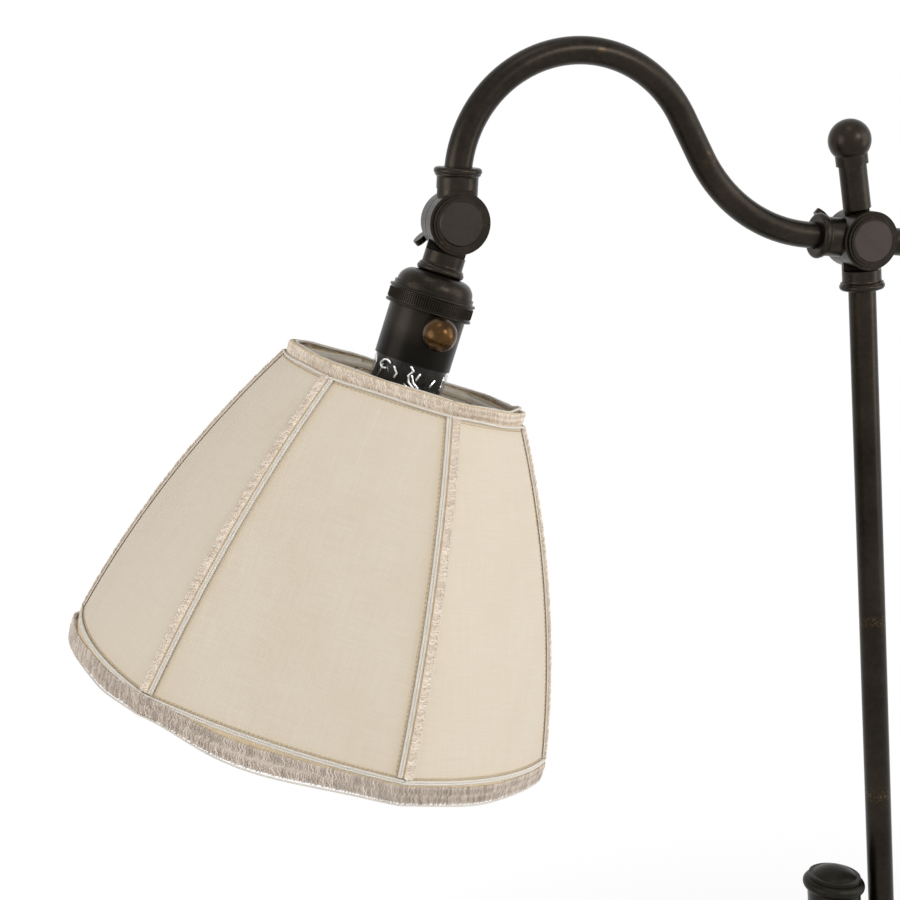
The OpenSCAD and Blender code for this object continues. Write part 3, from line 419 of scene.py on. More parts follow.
set_along, given, made = node_tree("set_along_path", [
    ("Piece", "Object"), ("Pitch", "Float"), ("Turn Spread", "Float"), ("Size Spread", "Float"),
    ("Seed", "Int"), ("Finish", "Material")])
as_curve = made("GeometryNodeMeshToCurve", None, {"Mesh": given["Path"]})
stepped = made("GeometryNodeResampleCurve", {"mode": "LENGTH"},
               {"Curve": as_curve.outputs[0], "Length": given["Pitch"]})
outward_field = made("GeometryNodeInputNamedAttribute", {"data_type": "FLOAT_VECTOR"}, {"Name": "outward"})
tangent_field = made("GeometryNodeInputTangent")
facing = made("FunctionNodeAxesToRotation", {"primary_axis": "Z", "secondary_axis": "X"},
              {0: outward_field.outputs[0], 1: tangent_field.outputs[0]})
less_turn = made("ShaderNodeMath", {"operation": "MULTIPLY"}, {0: given["Turn Spread"], 1: -1.0})
turn_jitter = made("FunctionNodeRandomValue", {"data_type": "FLOAT"},
                   {2: less_turn.outputs[0], 3: given["Turn Spread"], "Seed": given["Seed"]})
turn_vector = made("ShaderNodeCombineXYZ", None, {"Z": turn_jitter.outputs[1]})
turn_euler = made("FunctionNodeEulerToRotation", None, {0: turn_vector.outputs[0]})
turned = made("FunctionNodeRotateRotation", {"rotation_space": "LOCAL"},
              {0: facing.outputs[0], 1: turn_euler.outputs[0]})
least_size = made("ShaderNodeMath", {"operation": "SUBTRACT"}, {0: 1.0, 1: given["Size Spread"]})
most_size = made("ShaderNodeMath", {"operation": "ADD"}, {0: 1.0, 1: given["Size Spread"]})
size_jitter = made("FunctionNodeRandomValue", {"data_type": "FLOAT"},
                   {2: least_size.outputs[0], 3: most_size.outputs[0], "Seed": given["Seed"]})
piece_info = made("GeometryNodeObjectInfo", None, {"Object": given["Piece"]})
placed = made("GeometryNodeInstanceOnPoints", None,
              {"Points": stepped.outputs[0], "Instance": piece_info.outputs["Geometry"],
               "Rotation": turned.outputs[0], "Scale": size_jitter.outputs[1]})
whole = made("GeometryNodeRealizeInstances", None, {0: placed.outputs[0]})
finished = made("GeometryNodeSetMaterial", None, {"Geometry": whole.outputs[0], "Material": given["Finish"]})
made("NodeGroupOutput", None, {0: finished.outputs[0]})


def loose_mesh(name, points, faces):
    """A mesh object for a tree to place; it isn't linked to the scene."""
    mesh = bpy.data.meshes.new(name)
    mesh.from_pydata(points, [], faces)
    return bpy.data.objects.new(name, mesh)


ring_corners = [corner.co - knuckle_pivot for corner in nodes["socket_ring"].data.vertices]
ring_depths = [corner.dot(shade_axis) for corner in ring_corners]
ring_outer_r = max((corner - shade_axis * corner.dot(shade_axis)).length for corner in ring_corners)
ring_bead = (max(ring_depths) - min(ring_depths)) / 6
past_bead = 1.12 * ring_bead
ring_low, ring_high = min(ring_depths) + past_bead, max(ring_depths) - past_bead
ring_band_r = ring_outer_r - ring_bead / 2
reed_w, reed_t, reed_count = 0.00085, 0.00032, 110
reed_half = (ring_high - ring_low) / 2
reed_crest = reed_half * 0.8
reed = loose_mesh("reed", [
    (-reed_w / 2, -reed_half, -reed_t), (reed_w / 2, -reed_half, -reed_t),
    (reed_w / 2, reed_half, -reed_t), (-reed_w / 2, reed_half, -reed_t),
    (0, -reed_crest, reed_t), (0, reed_crest, reed_t)],
    [(0, 1, 4), (1, 2, 5, 4), (2, 3, 5), (3, 0, 4, 5)])
ring_steps = 192
ring_angles = [2 * math.pi * i / ring_steps for i in range(ring_steps)]
ring_points = [round_axis((ring_low + ring_high) / 2, a, ring_band_r) for a in ring_angles]
reeding = path_object("ring_reeding", [([p for p, o in ring_points], [o for p, o in ring_points], True)])
run_tree(set_along, reeding, {"Piece": reed, "Pitch": 2 * math.pi * ring_band_r / reed_count,
                              "Turn Spread": 0.0, "Size Spread": 0.03, "Seed": 3, "Finish": bronze})
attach(reeding, "shade")

# Switch knob
# A turned brass ball fixed on the switch shaft. Handling has browned it, and its worn lacquer still shines
# softly.
knob_finish, knob_place = new_finish("handled_brass")
knob_clouds = knob_place.noise(130, 3, 0.6)
knob_specks = knob_place.noise(900, 2, 0.6)
knob_tone = knob_place.tint((knob_clouds * 0.8 + knob_specks * 0.2).span(0.38, 0.62),
                            (0.040, 0.0195, 0.0062), (0.104, 0.050, 0.0145))
set_finish(knob_place, Base_Color=knob_tone, Metallic=1.0, Roughness=0.3 + (knob_specks - 0.5) * 0.2,
           Coat_Weight=0.14, Coat_Roughness=0.08, Normal=knob_specks.bump(0.00008, 0.3))
finish_nodes(knob_finish, "switch_knob")

# Film sleeve
# Thin clear film that shrank in crinkles round the insulating liner. Its creases carry a painted highlight: a
# point attribute marks them, and the finish turns the film there into a white mirror.
film_top, film_length, film_r = 0.0588, 0.0138, 0.0151
film_girth = 2 * math.pi * film_r
film_columns, film_rows = 300, 54
crease_count, crease_depth, crease_width, fold_width = 30, 0.00055, 0.00034, 0.0005
crease_above, crease_slant, crease_bend = 0.002, 1.1, 70
crease_shortest, crease_longest, crease_faintest = 0.004, 0.010, 0.45
draw = random.Random(11)
creases = []
for crease in range(crease_count):
    start = (draw.uniform(0, film_girth), draw.uniform(-crease_above, film_length))
    heading = draw.uniform(-crease_slant, crease_slant) + math.pi / 2
    bend = draw.uniform(-crease_bend, crease_bend)
    length = draw.uniform(crease_shortest, crease_longest)
    creases.append((start, heading, bend, length, draw.uniform(crease_faintest, 1.0)))

# The large folds that show at the front, with their painted highlights, each through points given in degrees
# round the film and millimetres below its top edge.
large_folds = [
    ((-176, 1.0), (-170, 3.2), (-174, 7.0)),
    ((-158, 2.8), (-152, 1.2), (-146, 0.8), (-139, 1.6)),
    ((-157, 3.4), (-152, 4.6), (-145, 4.2)),
    ((-131, 2.6), (-124, 4.8), (-126, 6.4)),
    ((-106, 0.6), (-101, 2.0), (-106, 4.2), (-104, 6.6), (-95, 8.4)),
    ((-101, 4.0), (-97, 6.4), (-87, 8.2)),
    ((-90, 2.6), (-93, 5.0)),
    ((-62, 3.6), (-68, 6.2)),
    ((-41, 1.6), (-43, 7.0)),
    ((-14, 1.2), (-20, 4.0), (-15, 7.5))]
fold_runs = []
for fold in large_folds:
    flat = [Vector((math.radians(degrees) * film_r, below / 1000)) for degrees, below in fold]
    fold_runs += list(zip(flat, flat[1:]))


def fold_height(along, down):
    """Height of the nearest large fold at a place on the flat film, from 0 to 1."""
    here = Vector((along, down))
    nearest = 1.0
    for start, end in fold_runs:
        run = end - start
        share = min(1.0, max(0.0, (here - start).dot(run) / run.length_squared))
        nearest = min(nearest, (here - start - run * share).length)
    return math.exp(-(nearest / fold_width) ** 2)


def crease_height(along, down):
    """Height of the creases at a place on the flat film, from 0 to about 1."""
    height_here = 0.0
    for (start_along, start_down), heading, bend, length, weight in creases:
        offset = (along - start_along + film_girth / 2) % film_girth - film_girth / 2
        drop = down - start_down
        run = offset * math.cos(heading) + drop * math.sin(heading)
        off = drop * math.cos(heading) - offset * math.sin(heading) - bend * run * run
        fade = max(0.0, 1 - (2 * run / length - 1) ** 2)
        height_here += weight * fade * math.exp(-(off / crease_width) ** 2)
    return height_here


film_points, film_faces, film_glints = [], [], []
for row in range(film_rows + 1):
    down = film_length * row / film_rows
    for column in range(film_columns):
        angle = 2 * math.pi * column / film_columns - math.pi
        crinkle = max(crease_height(angle * film_r, down), fold_height(angle * film_r, down))
        film_points.append(round_axis(film_top + down, angle, film_r + crease_depth * crinkle)[0])
        film_glints.append(crinkle)
for row in range(film_rows):
    for column in range(film_columns):
        beside = (column + 1) % film_columns
        film_faces.append((row * film_columns + column, (row + 1) * film_columns + column,
                           (row + 1) * film_columns + beside, row * film_columns + beside))
film_mesh = bpy.data.meshes.new("clear_film")
film_mesh.from_pydata(film_points, [], film_faces)
film_mesh.polygons.foreach_set("use_smooth", [True] * len(film_faces))
glint_layer = film_mesh.attributes.new("glint", "FLOAT", "POINT")
glint_layer.data.foreach_set("value", np.array(film_glints, np.float32))
film = bpy.data.objects.new("clear_film", film_mesh)
bpy.context.scene.collection.objects.link(film)
film_finish, film_place = new_finish("crinkled_film")
film_ripple = film_place.noise(420, 3, 0.6).bump(0.0012, 0.5)
film_glint = film_place.add("ShaderNodeAttribute", {"attribute_name": "glint"}, out="Fac")
film_gloss = film_place.add("ShaderNodeBsdfPrincipled", None, {
    "Base Color": (0.94, 0.94, 0.95), "Roughness": 0.1, "Metallic": 0.9, "Normal": film_ripple})
film_clear = film_place.add("ShaderNodeBsdfTransparent", None, {"Color": (0.94, 0.94, 0.93)})
film_edge = film_place.add("ShaderNodeLayerWeight", None, {"Blend": 0.15, "Normal": film_ripple}, out=0)
# Painted highlight: where the glint attribute is high, the film turns into a white mirror.
film_shine = film_place.math("MAXIMUM", film_edge * 0.4, film_glint.span(0.35, 0.75) * 0.92)
film_mix = film_place.add("ShaderNodeMixShader", None, {0: film_shine, 1: film_clear, 2: film_gloss})
film_place.add("ShaderNodeOutputMaterial", None, {"Surface": film_mix})
film_mesh.materials.append(film_finish)
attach(film, "shade")
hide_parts("film_sleeve")

# Shade wires
# Steel wire bent into two rims and six ribs, and a pressed fitter ring whose three arms carry the top rim.
# They are welded, and lacquered cream to match the lining.
wire_finish, wire_place = new_finish("lacquered_wire")
wire_cloud = wire_place.noise(260, 3)
wire_tone = wire_cloud.mottled((0.50, 0.44, 0.36), (0.62, 0.56, 0.47))
set_finish(wire_place, Base_Color=wire_tone, Metallic=0.0, Roughness=0.5 + (wire_cloud - 0.5) * 0.2)
finish_nodes(wire_finish, "shade_frame", "shade_fitter")

# Bulb
# A blown glass bulb, frosted inside and cemented into the brass cap that screws into the socket. It isn't
# lit, so its frosting is a plain white surface.
glass_finish, glass_place = new_finish("frosted_glass")
glass_cloud = glass_place.noise(120, 2)
glass_tone = glass_place.tint(glass_cloud, (0.86, 0.86, 0.84), (0.92, 0.92, 0.90))
set_finish(glass_place, Base_Color=glass_tone, Roughness=0.32 + (glass_cloud - 0.5) * 0.1,
           Specular_IOR_Level=0.5)
finish_nodes(glass_finish, "bulb_glass")

# Shade cloth
# Six panels of fine slubbed cloth over a lining, cut as tapered strips, stretched over a wire frame and
# sewn along its ribs and rims, so that each pulls in between its ribs.
shade_drop, shade_h = 0.0672, 0.132
shade_top_r, shade_bottom_r = 0.04865, 0.1005
rib_bow, rib_count = 0.006, 6
panel_pull, rim_pull = 0.62, 0.4
rib_turn = math.radians(8.1)
cloth_wall, seam_half = 0.0008, 0.0004
panel_apart = 0.3
rib_chord = math.hypot(shade_bottom_r - shade_top_r, shade_h)
rib_arc_r = (rib_chord ** 2 / 4 + rib_bow ** 2) / (2 * rib_bow)
rib_slope = math.atan2(shade_bottom_r - shade_top_r, shade_h)
arc_r = (shade_top_r + shade_bottom_r) / 2 - (rib_arc_r - rib_bow) * math.cos(rib_slope)
arc_s = shade_h / 2 + (rib_arc_r - rib_bow) * math.sin(rib_slope)
panel_angle = 2 * math.pi / rib_count


def rib_radius(s):
    """Radius of the bowed ribs at a distance below the shade's top rim."""
    return arc_r + math.sqrt(rib_arc_r ** 2 - (s - arc_s) ** 2)


def cloth_radius(s, off):
    """Radius of the cloth at an angle off the middle of a panel, whose section is an arc between its ribs."""
    half = panel_angle / 2
    over_rib = rib_radius(s)
    pull = rim_pull + (panel_pull - rim_pull) * math.sin(math.pi * s / shade_h)
    sag = (1 - pull) * over_rib * (1 - math.cos(half))
    section_r = ((over_rib * math.sin(half)) ** 2 + sag ** 2) / (2 * sag)
    centre = over_rib * math.cos(half) + sag - section_r
    return centre * math.cos(off) + math.sqrt(section_r ** 2 - (centre * math.sin(off)) ** 2)


def on_shade(s, angle, radius):
    return round_axis(shade_drop + s, angle, radius)


def rib_angle(rib):
    return rib_turn - math.pi / 2 + rib * panel_angle


cloth_finish, cloth_place = new_finish("slubbed_cloth")
cloth_uv = cloth_place.add("ShaderNodeTexCoord", out="UV")
edge_stain_and_shade = cloth_place.add("ShaderNodeAttribute", {"attribute_name": "edge"}, out="Fac")
warp_slub = cloth_uv.stretched((1600.0, 45.0, 1.0)).noise(1, 3, 0.6)
weft_slub = cloth_uv.stretched((55.0, 1900.0, 1.0)).noise(1, 3, 0.6)
soil = cloth_uv.noise(26, 4, 0.6)
warp, weft = (cloth_uv.add("ShaderNodeTexWave", {"bands_direction": axis},
                           {"Vector": cloth_uv, "Scale": 500.0}, out=1) for axis in "XY")
threads = warp_slub * 0.5 + weft_slub * 0.5
cloth_tone = threads.mottled((0.662, 0.575, 0.458), (0.732, 0.646, 0.531))
cloth_tone = cloth_place.tint(soil.span(0.45, 0.8) * 0.35, cloth_tone, (0.62, 0.515, 0.375))
# Beside the ribs and rims the cloth is tinted ochre: partly a glue stain, partly painted shade under the
# braid's edges.
cloth_tone = cloth_place.tint(edge_stain_and_shade * 0.6, cloth_tone, (0.60, 0.46, 0.26))

# One thick pale thread shows in the sixth panel, a little slanted, and fades at both ends.
slub_start = Vector((5 * panel_apart - 0.0021, 0.005, 0))
slub_end = Vector((5 * panel_apart - 0.0038, 0.033, 0))
slub_run = (slub_end - slub_start).normalized()
slub_off = abs(cloth_uv.along(slub_run.cross(Vector((0, 0, 1))), slub_start))
slub_reach = cloth_uv.along(slub_run, slub_start)
slub_fade = slub_reach.span(0.0, 0.004) * (1 - slub_reach.span(0.02, (slub_end - slub_start).length))
slub_core = 1 - slub_off.span(0.0002, 0.0005)
cloth_tone = cloth_place.tint(slub_core * slub_fade * 0.25, cloth_tone, (0.80, 0.74, 0.64))
set_finish(cloth_place, Base_Color=cloth_tone, Roughness=0.8 + (threads - 0.5) * 0.15,
           Specular_IOR_Level=0.25, Sheen_Weight=0.12, Sheen_Roughness=0.5,
           Normal=(threads * 0.7 + (warp + weft) * 0.15).bump(0.00025, 0.5))

lining_finish, lining_place = new_finish("pale_lining")
lining_cloud = lining_place.noise(700, 3, 0.6)
lining_tone = lining_place.tint(lining_cloud, (0.70, 0.65, 0.57), (0.78, 0.73, 0.66))
set_finish(lining_place, Base_Color=lining_tone, Roughness=0.85, Specular_IOR_Level=0.2,
           Normal=lining_cloud.bump(0.0002, 0.4))

panel_columns, panel_rows = 28, 40
plain_reach, corded_reach, hem_reach = 0.0058, 0.009, 0.0048
hem_start = 0.001
for panel in range(rib_count):
    panel_middle = rib_angle(panel) + panel_angle / 2
    edge_reach = corded_reach if panel % 2 else plain_reach
    points, uvs, stain_and_shade, faces = [], [], [], []
    for row in range(panel_rows + 1):
        s = shade_h * row / panel_rows
        half = panel_angle / 2 - seam_half / rib_radius(s)
        for column in range(panel_columns + 1):
            off = half * (2 * column / panel_columns - 1)
            radius = cloth_radius(s, off)
            points.append(on_shade(s, panel_middle + off, radius)[0])
            uvs.append((off * radius + panel_apart * panel, s))
            to_rib = (half - abs(off)) * radius
            to_rim = min(s - hem_start, shade_h - s)
            # The ochre tint beside ribs and rims, partly glue stain and partly painted shade under the braid.
            stain_and_shade.append(max(0.0, 1 - to_rib / edge_reach, 1 - to_rim / hem_reach) ** 2)
    for row in range(panel_rows):
        for column in range(panel_columns):
            corner = row * (panel_columns + 1) + column
            faces.append((corner, corner + panel_columns + 1, corner + panel_columns + 2, corner + 1))
    panel_mesh = bpy.data.meshes.new(f"shade_panel_{panel + 1}")
    panel_mesh.from_pydata(points, [], faces)
    panel_mesh.polygons.foreach_set("use_smooth", [True] * len(faces))
    uv_layer = panel_mesh.uv_layers.new(name="cloth")
    for loop in panel_mesh.loops:
        uv_layer.data[loop.index].uv = uvs[loop.vertex_index]
    stain_and_shade_layer = panel_mesh.attributes.new("edge", "FLOAT", "POINT")
    stain_and_shade_layer.data.foreach_set("value", np.array(stain_and_shade, np.float32))
    panel_mesh.materials.append(cloth_finish)
    panel_mesh.materials.append(lining_finish)
    cloth = bpy.data.objects.new(panel_mesh.name, panel_mesh)
    bpy.context.scene.collection.objects.link(cloth)
    wall = cloth.modifiers.new("lining", "SOLIDIFY")
    wall.thickness = cloth_wall
    wall.offset = -1
    wall.material_offset = 1
    wall.material_offset_rim = 0
    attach(cloth, "shade")
    if panel == 0:
        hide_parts("shade_cloth")


# Braid
# Woven gimp glued over every seam and rim: a fuzzy band of looped yarn on an ochre tape. A rib's band has two
# pale cords along one edge and a thin one along the other; the bottom band hangs below its cords.
def yarn(name, dark, pale, fibre_tone):
    material, place = new_finish(name)
    each = place.add("ShaderNodeNewGeometry", out="Random Per Island")
    fibre = place.noise(3000, 2, 0.6)
    tone = place.tint(fibre.span(0.35, 0.7) * 0.5, place.tint(each, dark, pale), fibre_tone)
    set_finish(place, Base_Color=tone, Roughness=0.8, Specular_IOR_Level=0.25, Sheen_Weight=0.2,
               Normal=fibre.bump(0.0002, 0.5))
    return material


# The bottom band uses a darker copy of the same looped yarn.
pale_yarn = yarn("looped_yarn", (0.61, 0.485, 0.375), (0.94, 0.845, 0.715), (0.91, 0.845, 0.75))
soiled_yarn = yarn("soiled_yarn", (0.345, 0.275, 0.225), (0.79, 0.69, 0.59), (0.81, 0.73, 0.65))

cord_finish, cord_place = new_finish("pale_cord")
cord_fibre = cord_place.noise(2200, 2, 0.6)
cord_tone = cord_fibre.mottled((0.73, 0.67, 0.58), (0.85, 0.80, 0.73))
set_finish(cord_place, Base_Color=cord_tone, Roughness=0.75, Specular_IOR_Level=0.3, Sheen_Weight=0.2,
           Normal=cord_fibre.bump(0.0002, 0.4))

tape_finish, tape_place = new_finish("ochre_tape")
tape_cloud = tape_place.noise(500, 3, 0.6)
tape_tone = tape_cloud.mottled((0.60, 0.47, 0.30), (0.71, 0.59, 0.42))
set_finish(tape_place, Base_Color=tape_tone, Roughness=0.85, Specular_IOR_Level=0.2,
           Normal=tape_cloud.bump(0.0003, 0.5))

twisted, given, made = node_tree("twisted_cord", [
    ("Section", "Object"), ("Step", "Float"), ("Turns per Metre", "Float"), ("Finish", "Material")])
as_curve = made("GeometryNodeMeshToCurve", None, {"Mesh": given["Path"]})
stepped = made("GeometryNodeResampleCurve", {"mode": "LENGTH"},
               {"Curve": as_curve.outputs[0], "Length": given["Step"]})
run_length = made("GeometryNodeSplineParameter")
twist_rate = made("ShaderNodeMath", {"operation": "MULTIPLY"}, {0: given["Turns per Metre"], 1: 2 * math.pi})
twist = made("ShaderNodeMath", {"operation": "MULTIPLY"},
             {0: run_length.outputs["Length"], 1: twist_rate.outputs[0]})
tilted = made("GeometryNodeSetCurveTilt", None, {"Curve": stepped.outputs[0], "Tilt": twist.outputs[0]})
section_info = made("GeometryNodeObjectInfo", None, {"Object": given["Section"]})
section_curve = made("GeometryNodeMeshToCurve", None, {"Mesh": section_info.outputs["Geometry"]})
swept = made("GeometryNodeCurveToMesh", None,
             {"Curve": tilted.outputs[0], "Profile Curve": section_curve.outputs[0], "Fill Caps": True})
smoothed = made("GeometryNodeSetShadeSmooth", None, {"Geometry": swept.outputs[0]})
whole = made("GeometryNodeRealizeInstances", None, {0: smoothed.outputs[0]})
finished = made("GeometryNodeSetMaterial", None, {"Geometry": whole.outputs[0], "Material": given["Finish"]})
made("NodeGroupOutput", None, {0: finished.outputs[0]})


def cord_section(name, radius):
    """A round of three plies, seen end on."""
    sides = 9
    points = []
    for i in range(sides):
        turn = 2 * math.pi * i / sides
        lobe = radius * (0.9 + 0.1 * math.cos(3 * turn))
        points.append((lobe * math.cos(turn), lobe * math.sin(turn), 0))
    mesh = bpy.data.meshes.new(name)
    mesh.from_pydata(points, [(i, (i + 1) % sides) for i in range(sides)], [])
    return bpy.data.objects.new(name, mesh)


def yarn_loop(name, width, thick, pitch):
    """One bent loop of yarn across a band, as a four-sided tube."""
    steps = 7
    points, faces = [], []
    for i in range(steps + 1):
        share = i / steps
        centre = Vector((pitch * 0.55 * math.sin(2 * math.pi * share), width * (share - 0.5),
                         thick * (0.55 + 0.5 * math.sin(math.pi * share))))
        for corner in range(4):
            turn = math.pi / 2 * corner
            points.append(centre + Vector((math.cos(turn), 0, math.sin(turn))) * thick * 0.62)
    for i in range(steps):
        for corner in range(4):
            a, b = i * 4 + corner, i * 4 + (corner + 1) % 4
            faces.append((a, b, b + 4, a + 4))
    faces.append((3, 2, 1, 0))
    faces.append((steps * 4, steps * 4 + 1, steps * 4 + 2, steps * 4 + 3))
    return loose_mesh(name, points, faces)


def trim(piece):
    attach(piece, "shade")
    return piece


def strip(name, bands, thick, material):
    """A tape over the cloth. Each band is a list of the lines side by side across it, which it bends to
    follow."""
    points, faces = [], []
    for lines in bands:
        first = len(points)
        count, closed = len(lines[0][0]), lines[0][2]
        ring = 2 * len(lines)
        for i in range(count):
            points += [line[0][i] for line in lines]
            points += [line[0][i] + line[1][i] * thick for line in reversed(lines)]
        for i in range(count if closed else count - 1):
            a, b = first + ring * i, first + ring * ((i + 1) % count)
            for k in range(ring):
                n = (k + 1) % ring
                faces.append((a + k, a + n, b + n, b + k))
        if not closed:
            faces.append(tuple(first + k for k in reversed(range(ring))))
            faces.append(tuple(first + ring * (count - 1) + k for k in range(ring)))
    mesh = bpy.data.meshes.new(name)
    mesh.from_pydata(points, [], faces)
    shape = bmesh.new()
    shape.from_mesh(mesh)
    bmesh.ops.recalc_face_normals(shape, faces=shape.faces)
    shape.to_mesh(mesh)
    shape.free()
    mesh.materials.append(material)
    piece = bpy.data.objects.new(name, mesh)
    bpy.context.scene.collection.objects.link(piece)
    return trim(piece)


def lifted(lines, rise):
    """The same lines, raised off the cloth."""
    return [([p + o * rise for p, o in zip(points, outs)], outs, closed) for points, outs, closed in lines]


def cords(name, lines, section, rise):
    piece = path_object(name, lifted(lines, rise))
    run_tree(twisted, piece, {"Section": section, "Step": cord_step, "Turns per Metre": cord_twist,
                              "Finish": cord_finish})
    return trim(piece)


def loops(name, lines, loop, rise, pitch, seed, material):
    piece = path_object(name, lifted(lines, rise))
    run_tree(set_along, piece, {"Piece": loop, "Pitch": pitch, "Turn Spread": 0.35, "Size Spread": 0.16,
                                "Seed": seed, "Finish": material})
    return trim(piece)


braid_seat = 0.0003
tape_t, pad_t = 0.0003, 0.0007
thin_cord_r, cord_r = 0.0004, 0.0006
cord_step, cord_twist = 0.0009, 330.0
loop_t, loop_pitch = 0.00042, 0.00066
cord_bed, thin_bed = cord_r * 0.55, thin_cord_r * 0.6
rib_start, rib_end = 0.0036, shade_h - 0.0025
rib_steps, rim_steps = 44, 240
seam_reach, slope_reach = 0.0004, 0.0005


def cloth_point(s, angle):
    off = (angle - rib_angle(0)) % panel_angle - panel_angle / 2
    return on_shade(s, angle, cloth_radius(s, off))[0]


def cloth_outward(s, angle, reach):
    """The way out from the cloth, over a reach to each side."""
    turn = reach / rib_radius(s)
    around = cloth_point(s, angle + turn) - cloth_point(s, angle - turn)
    down = cloth_point(s + slope_reach, angle) - cloth_point(s - slope_reach, angle)
    return down.cross(around).normalized()


def rib_line(rib, sideways, reach=seam_reach):
    """A line on the cloth along a rib's seam, moved sideways towards the rib's two cords."""
    points, outs = [], []
    towards_cords = 1 if rib % 2 else -1
    for i in range(rib_steps + 1):
        s = rib_start + (rib_end - rib_start) * i / rib_steps
        angle = rib_angle(rib) + towards_cords * sideways / rib_radius(s)
        out = cloth_outward(s, angle, reach)
        points.append(cloth_point(s, angle) + out * braid_seat)
        outs.append(out)
    return points, outs, False


def rim_line(s, section, wander=None, stand=None):
    """A closed line round the shade outside one section of the cloth; its height may wander with the angle,
    and it may stand off the cloth."""
    points, outs = [], []
    for i in range(rim_steps):
        turn = 2 * math.pi * i / rim_steps
        angle = rib_angle(0) + turn
        off = turn % panel_angle - panel_angle / 2
        here = s + (wander(angle) if wander else 0.0)
        away = braid_seat + (stand(angle) if stand else 0.0)
        points.append(on_shade(here, angle, cloth_radius(section, off) + away)[0])
    for i in range(rim_steps):
        along = (points[(i + 1) % rim_steps] - points[i - 1]).normalized()
        outs.append(along.cross(-shade_axis).normalized())
    return points, outs, True


ribs = range(rib_count)
cord_round = cord_section("cord_round", cord_r)
thin_round = cord_section("thin_round", thin_cord_r)
tape_across = (-0.0029, -0.0015, 0, 0.0015, 0.0029)
pad_across = (-0.0023, -0.0012, 0, 0.0007)
loops_across, cords_across, thin_across = -0.0008, (0.0018, 0.0026), -0.0028
rib_loop_w = 0.0034
loop_seat = pad_t - loop_t / 2
rib_tape = strip("rib_tape", [[rib_line(rib, off) for off in tape_across] for rib in ribs],
                 tape_t, tape_finish)
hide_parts("rib_braid")
strip("rib_pad", [[rib_line(rib, off) for off in pad_across] for rib in ribs], pad_t, pale_yarn)
loops("rib_loops", [rib_line(rib, loops_across, rib_loop_w / 2) for rib in ribs],
      yarn_loop("rib_loop", rib_loop_w, loop_t, loop_pitch), loop_seat, loop_pitch, 5, pale_yarn)
cords("rib_cords", [rib_line(rib, off) for rib in ribs for off in cords_across], cord_round, cord_bed)
cords("rib_thin_cords", [rib_line(rib, thin_across) for rib in ribs], thin_round, thin_bed)

# The top band follows the rim. It was set on lower at the back, and its upper edge has come loose at the
# right-hand corner and stands up there.
braid_rise, top_braid_w = 0.003, 0.0065
top_tape_half, top_pad_half, top_row, top_loop_w = 0.0029, 0.0021, 0.0011, 0.0026
back_drop, loose_rise = 0.0018, 0.0016
back_angle, loose_angle = math.radians(75), rib_angle(1)


def bulge(angle, middle, reach):
    """A smooth bump from 0 to 1 round an angle."""
    away = abs((angle - middle + math.pi) % (2 * math.pi) - math.pi)
    return max(0.0, math.cos(math.pi / 2 * min(1.0, away / reach))) ** 2


def ripple(angle, waves, phase):
    """The small unevenness of a hand-set edge."""
    return 0.0002 * math.sin(waves * angle + phase)


def top_drop(angle):
    return back_drop * bulge(angle, back_angle, 1.4)


def top_upper(angle):
    return top_drop(angle) + ripple(angle, 9, 1) - loose_rise * bulge(angle, loose_angle, 0.35)


def top_lower(angle):
    return top_drop(angle) + ripple(angle, 8, 2)


def top_middle(angle):
    return (top_upper(angle) + top_lower(angle)) / 2


top_centre = top_braid_w / 2 - braid_rise
top_tape = strip("top_tape", [[rim_line(top_centre + off, top_centre, top_drop)
                               for off in (top_tape_half, -top_tape_half)]], tape_t, tape_finish)
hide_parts("rim_braid")
strip("top_pad", [[rim_line(top_centre + off, top_centre, top_middle)
                   for off in (top_pad_half, -top_pad_half)]], pad_t, pale_yarn)
loops("top_loops", [rim_line(top_centre + row, top_centre, top_middle) for row in (-top_row, top_row)],
      yarn_loop("top_loop", top_loop_w, loop_t, loop_pitch), loop_seat, loop_pitch, 7, pale_yarn)
cords("top_cords", [rim_line(-braid_rise + cord_r, -braid_rise, top_upper),
                    rim_line(top_braid_w - braid_rise - cord_r, top_braid_w - braid_rise, top_lower)],
      cord_round, cord_bed)

# The bottom band is glued along its upper edge only. It hangs off the rim's two cords at the left-hand corner
# and along the middle of the front panel, and is drawn up at the rib between them. In the middle its lower
# half hangs further than its upper half. The heights are from the shade's bottom rim.
tape_above, tape_below = 0.002, 0.0056
cords_above = (0.0017, 0.0009)
pad_top, upper_row, lower_row, pad_bottom, hem_below = 0.0003, 0.0018, 0.0050, 0.0065, 0.0075
bottom_loop_w = 0.0036
corner_hang, drawn_up, middle_hang, middle_spread, corner_stand = 0.0022, 0.0016, 0.0026, 0.0014, 0.0015
corner_angle, drawn_angle = rib_angle(4), rib_angle(5)


def middle_bulge(angle):
    return bulge(angle, drawn_angle + 0.49, 0.45)


def hang(angle):
    return (corner_hang * bulge(angle, corner_angle + 0.15, 0.6) - drawn_up * bulge(angle, drawn_angle, 0.35)
            + middle_hang * middle_bulge(angle) + ripple(angle, 5, 0.6) + ripple(angle, 11, 0))


def upper_hang(angle):
    return hang(angle) - middle_spread * middle_bulge(angle)


def hem(angle):
    return hang(angle) + ripple(angle, 7, 2)


def stand_off(angle):
    return corner_stand * bulge(angle, corner_angle, 0.35)


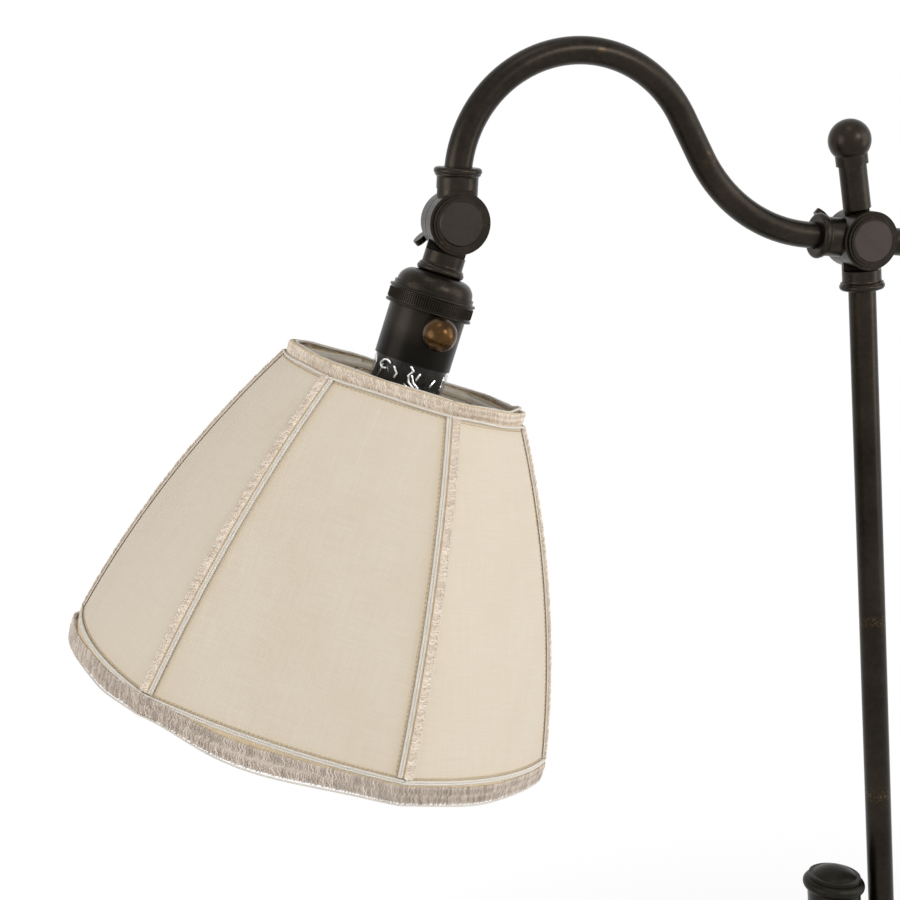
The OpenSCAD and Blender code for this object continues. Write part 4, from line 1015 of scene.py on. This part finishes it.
strip("bottom_tape", [[rim_line(shade_h + tape_below, shade_h), rim_line(shade_h, shade_h),
                       rim_line(shade_h - tape_above, shade_h - tape_above)]], tape_t, tape_finish)
cords("bottom_cords", [rim_line(shade_h - up, shade_h - up) for up in cords_above], cord_round, cord_bed)
strip("bottom_pad", [[rim_line(shade_h + pad_bottom, shade_h, hang, stand_off),
                      rim_line(shade_h + pad_top, shade_h, upper_hang, stand_off)]], pad_t, soiled_yarn)
loops("bottom_loops", [rim_line(shade_h + upper_row, shade_h, upper_hang, stand_off),
                       rim_line(shade_h + lower_row, shade_h, hang, stand_off)],
      yarn_loop("bottom_loop", bottom_loop_w, loop_t, loop_pitch), loop_seat, loop_pitch, 9, soiled_yarn)
cords("bottom_thin_cord", [rim_line(shade_h + hem_below, shade_h, hem, stand_off)], thin_round, pad_t)

# Stitches
# Ochre thread in short stitches beside the braid, where each panel is sewn to the frame along its top, its
# bottom and its right-hand rib.
thread_finish, thread_place = new_finish("ochre_thread")
thread_fibre = thread_place.noise(2500, 2)
thread_tone = thread_fibre.mottled((0.47, 0.36, 0.19), (0.63, 0.51, 0.31))
set_finish(thread_place, Base_Color=thread_tone, Roughness=0.7, Specular_IOR_Level=0.3)
stitch_l, stitch_r, stitch_sides = 0.0012, 0.00022, 6
stitch_points, stitch_faces = [], []
stitch_rings = ((-0.5, 0.3), (-0.32, 1.0), (0.32, 1.0), (0.5, 0.3))
for share, swell in stitch_rings:
    for corner in range(stitch_sides):
        turn = 2 * math.pi / stitch_sides * corner
        stitch_points.append((stitch_l * share, stitch_r * swell * math.cos(turn),
                              stitch_r * swell * math.sin(turn)))
for ring in range(len(stitch_rings) - 1):
    for corner in range(stitch_sides):
        a, b = ring * stitch_sides + corner, ring * stitch_sides + (corner + 1) % stitch_sides
        stitch_faces.append((a, b, b + stitch_sides, a + stitch_sides))
stitch_faces.append(tuple(reversed(range(stitch_sides))))
stitch_faces.append(tuple(range(len(stitch_points) - stitch_sides, len(stitch_points))))
stitch = loose_mesh("stitch", stitch_points, stitch_faces)
stitch_side, stitch_pitch = 0.0038, 0.0018
stitch_seat = stitch_r * 0.5
stitch_start, stitch_run = rib_start + 0.001, rib_end - rib_start - 0.003
top_stitch_row, bottom_stitch_row = 0.0044, shade_h - 0.0027


def line_beside_rib(rib):
    points, outs = [], []
    for i in range(rib_steps + 1):
        s = stitch_start + stitch_run * i / rib_steps
        angle = rib_angle(rib) - stitch_side / rib_radius(s)
        out = cloth_outward(s, angle, seam_reach)
        points.append(cloth_point(s, angle) + out * stitch_seat)
        outs.append(out)
    return points, outs, False


def line_along_rim(s):
    angles = [rib_angle(0) + 2 * math.pi * i / rim_steps for i in range(rim_steps)]
    outs = [cloth_outward(s, angle, seam_reach) for angle in angles]
    return [cloth_point(s, angle) + out * stitch_seat for angle, out in zip(angles, outs)], outs, True


stitch_lines = [line_beside_rib(rib) for rib in ribs]
stitch_lines += [line_along_rim(top_stitch_row), line_along_rim(bottom_stitch_row)]
stitching = path_object("stitching", stitch_lines)
run_tree(set_along, stitching, {"Piece": stitch, "Pitch": stitch_pitch, "Turn Spread": 0.35,
                                "Size Spread": 0.1, "Seed": 13, "Finish": thread_finish})
trim(stitching)
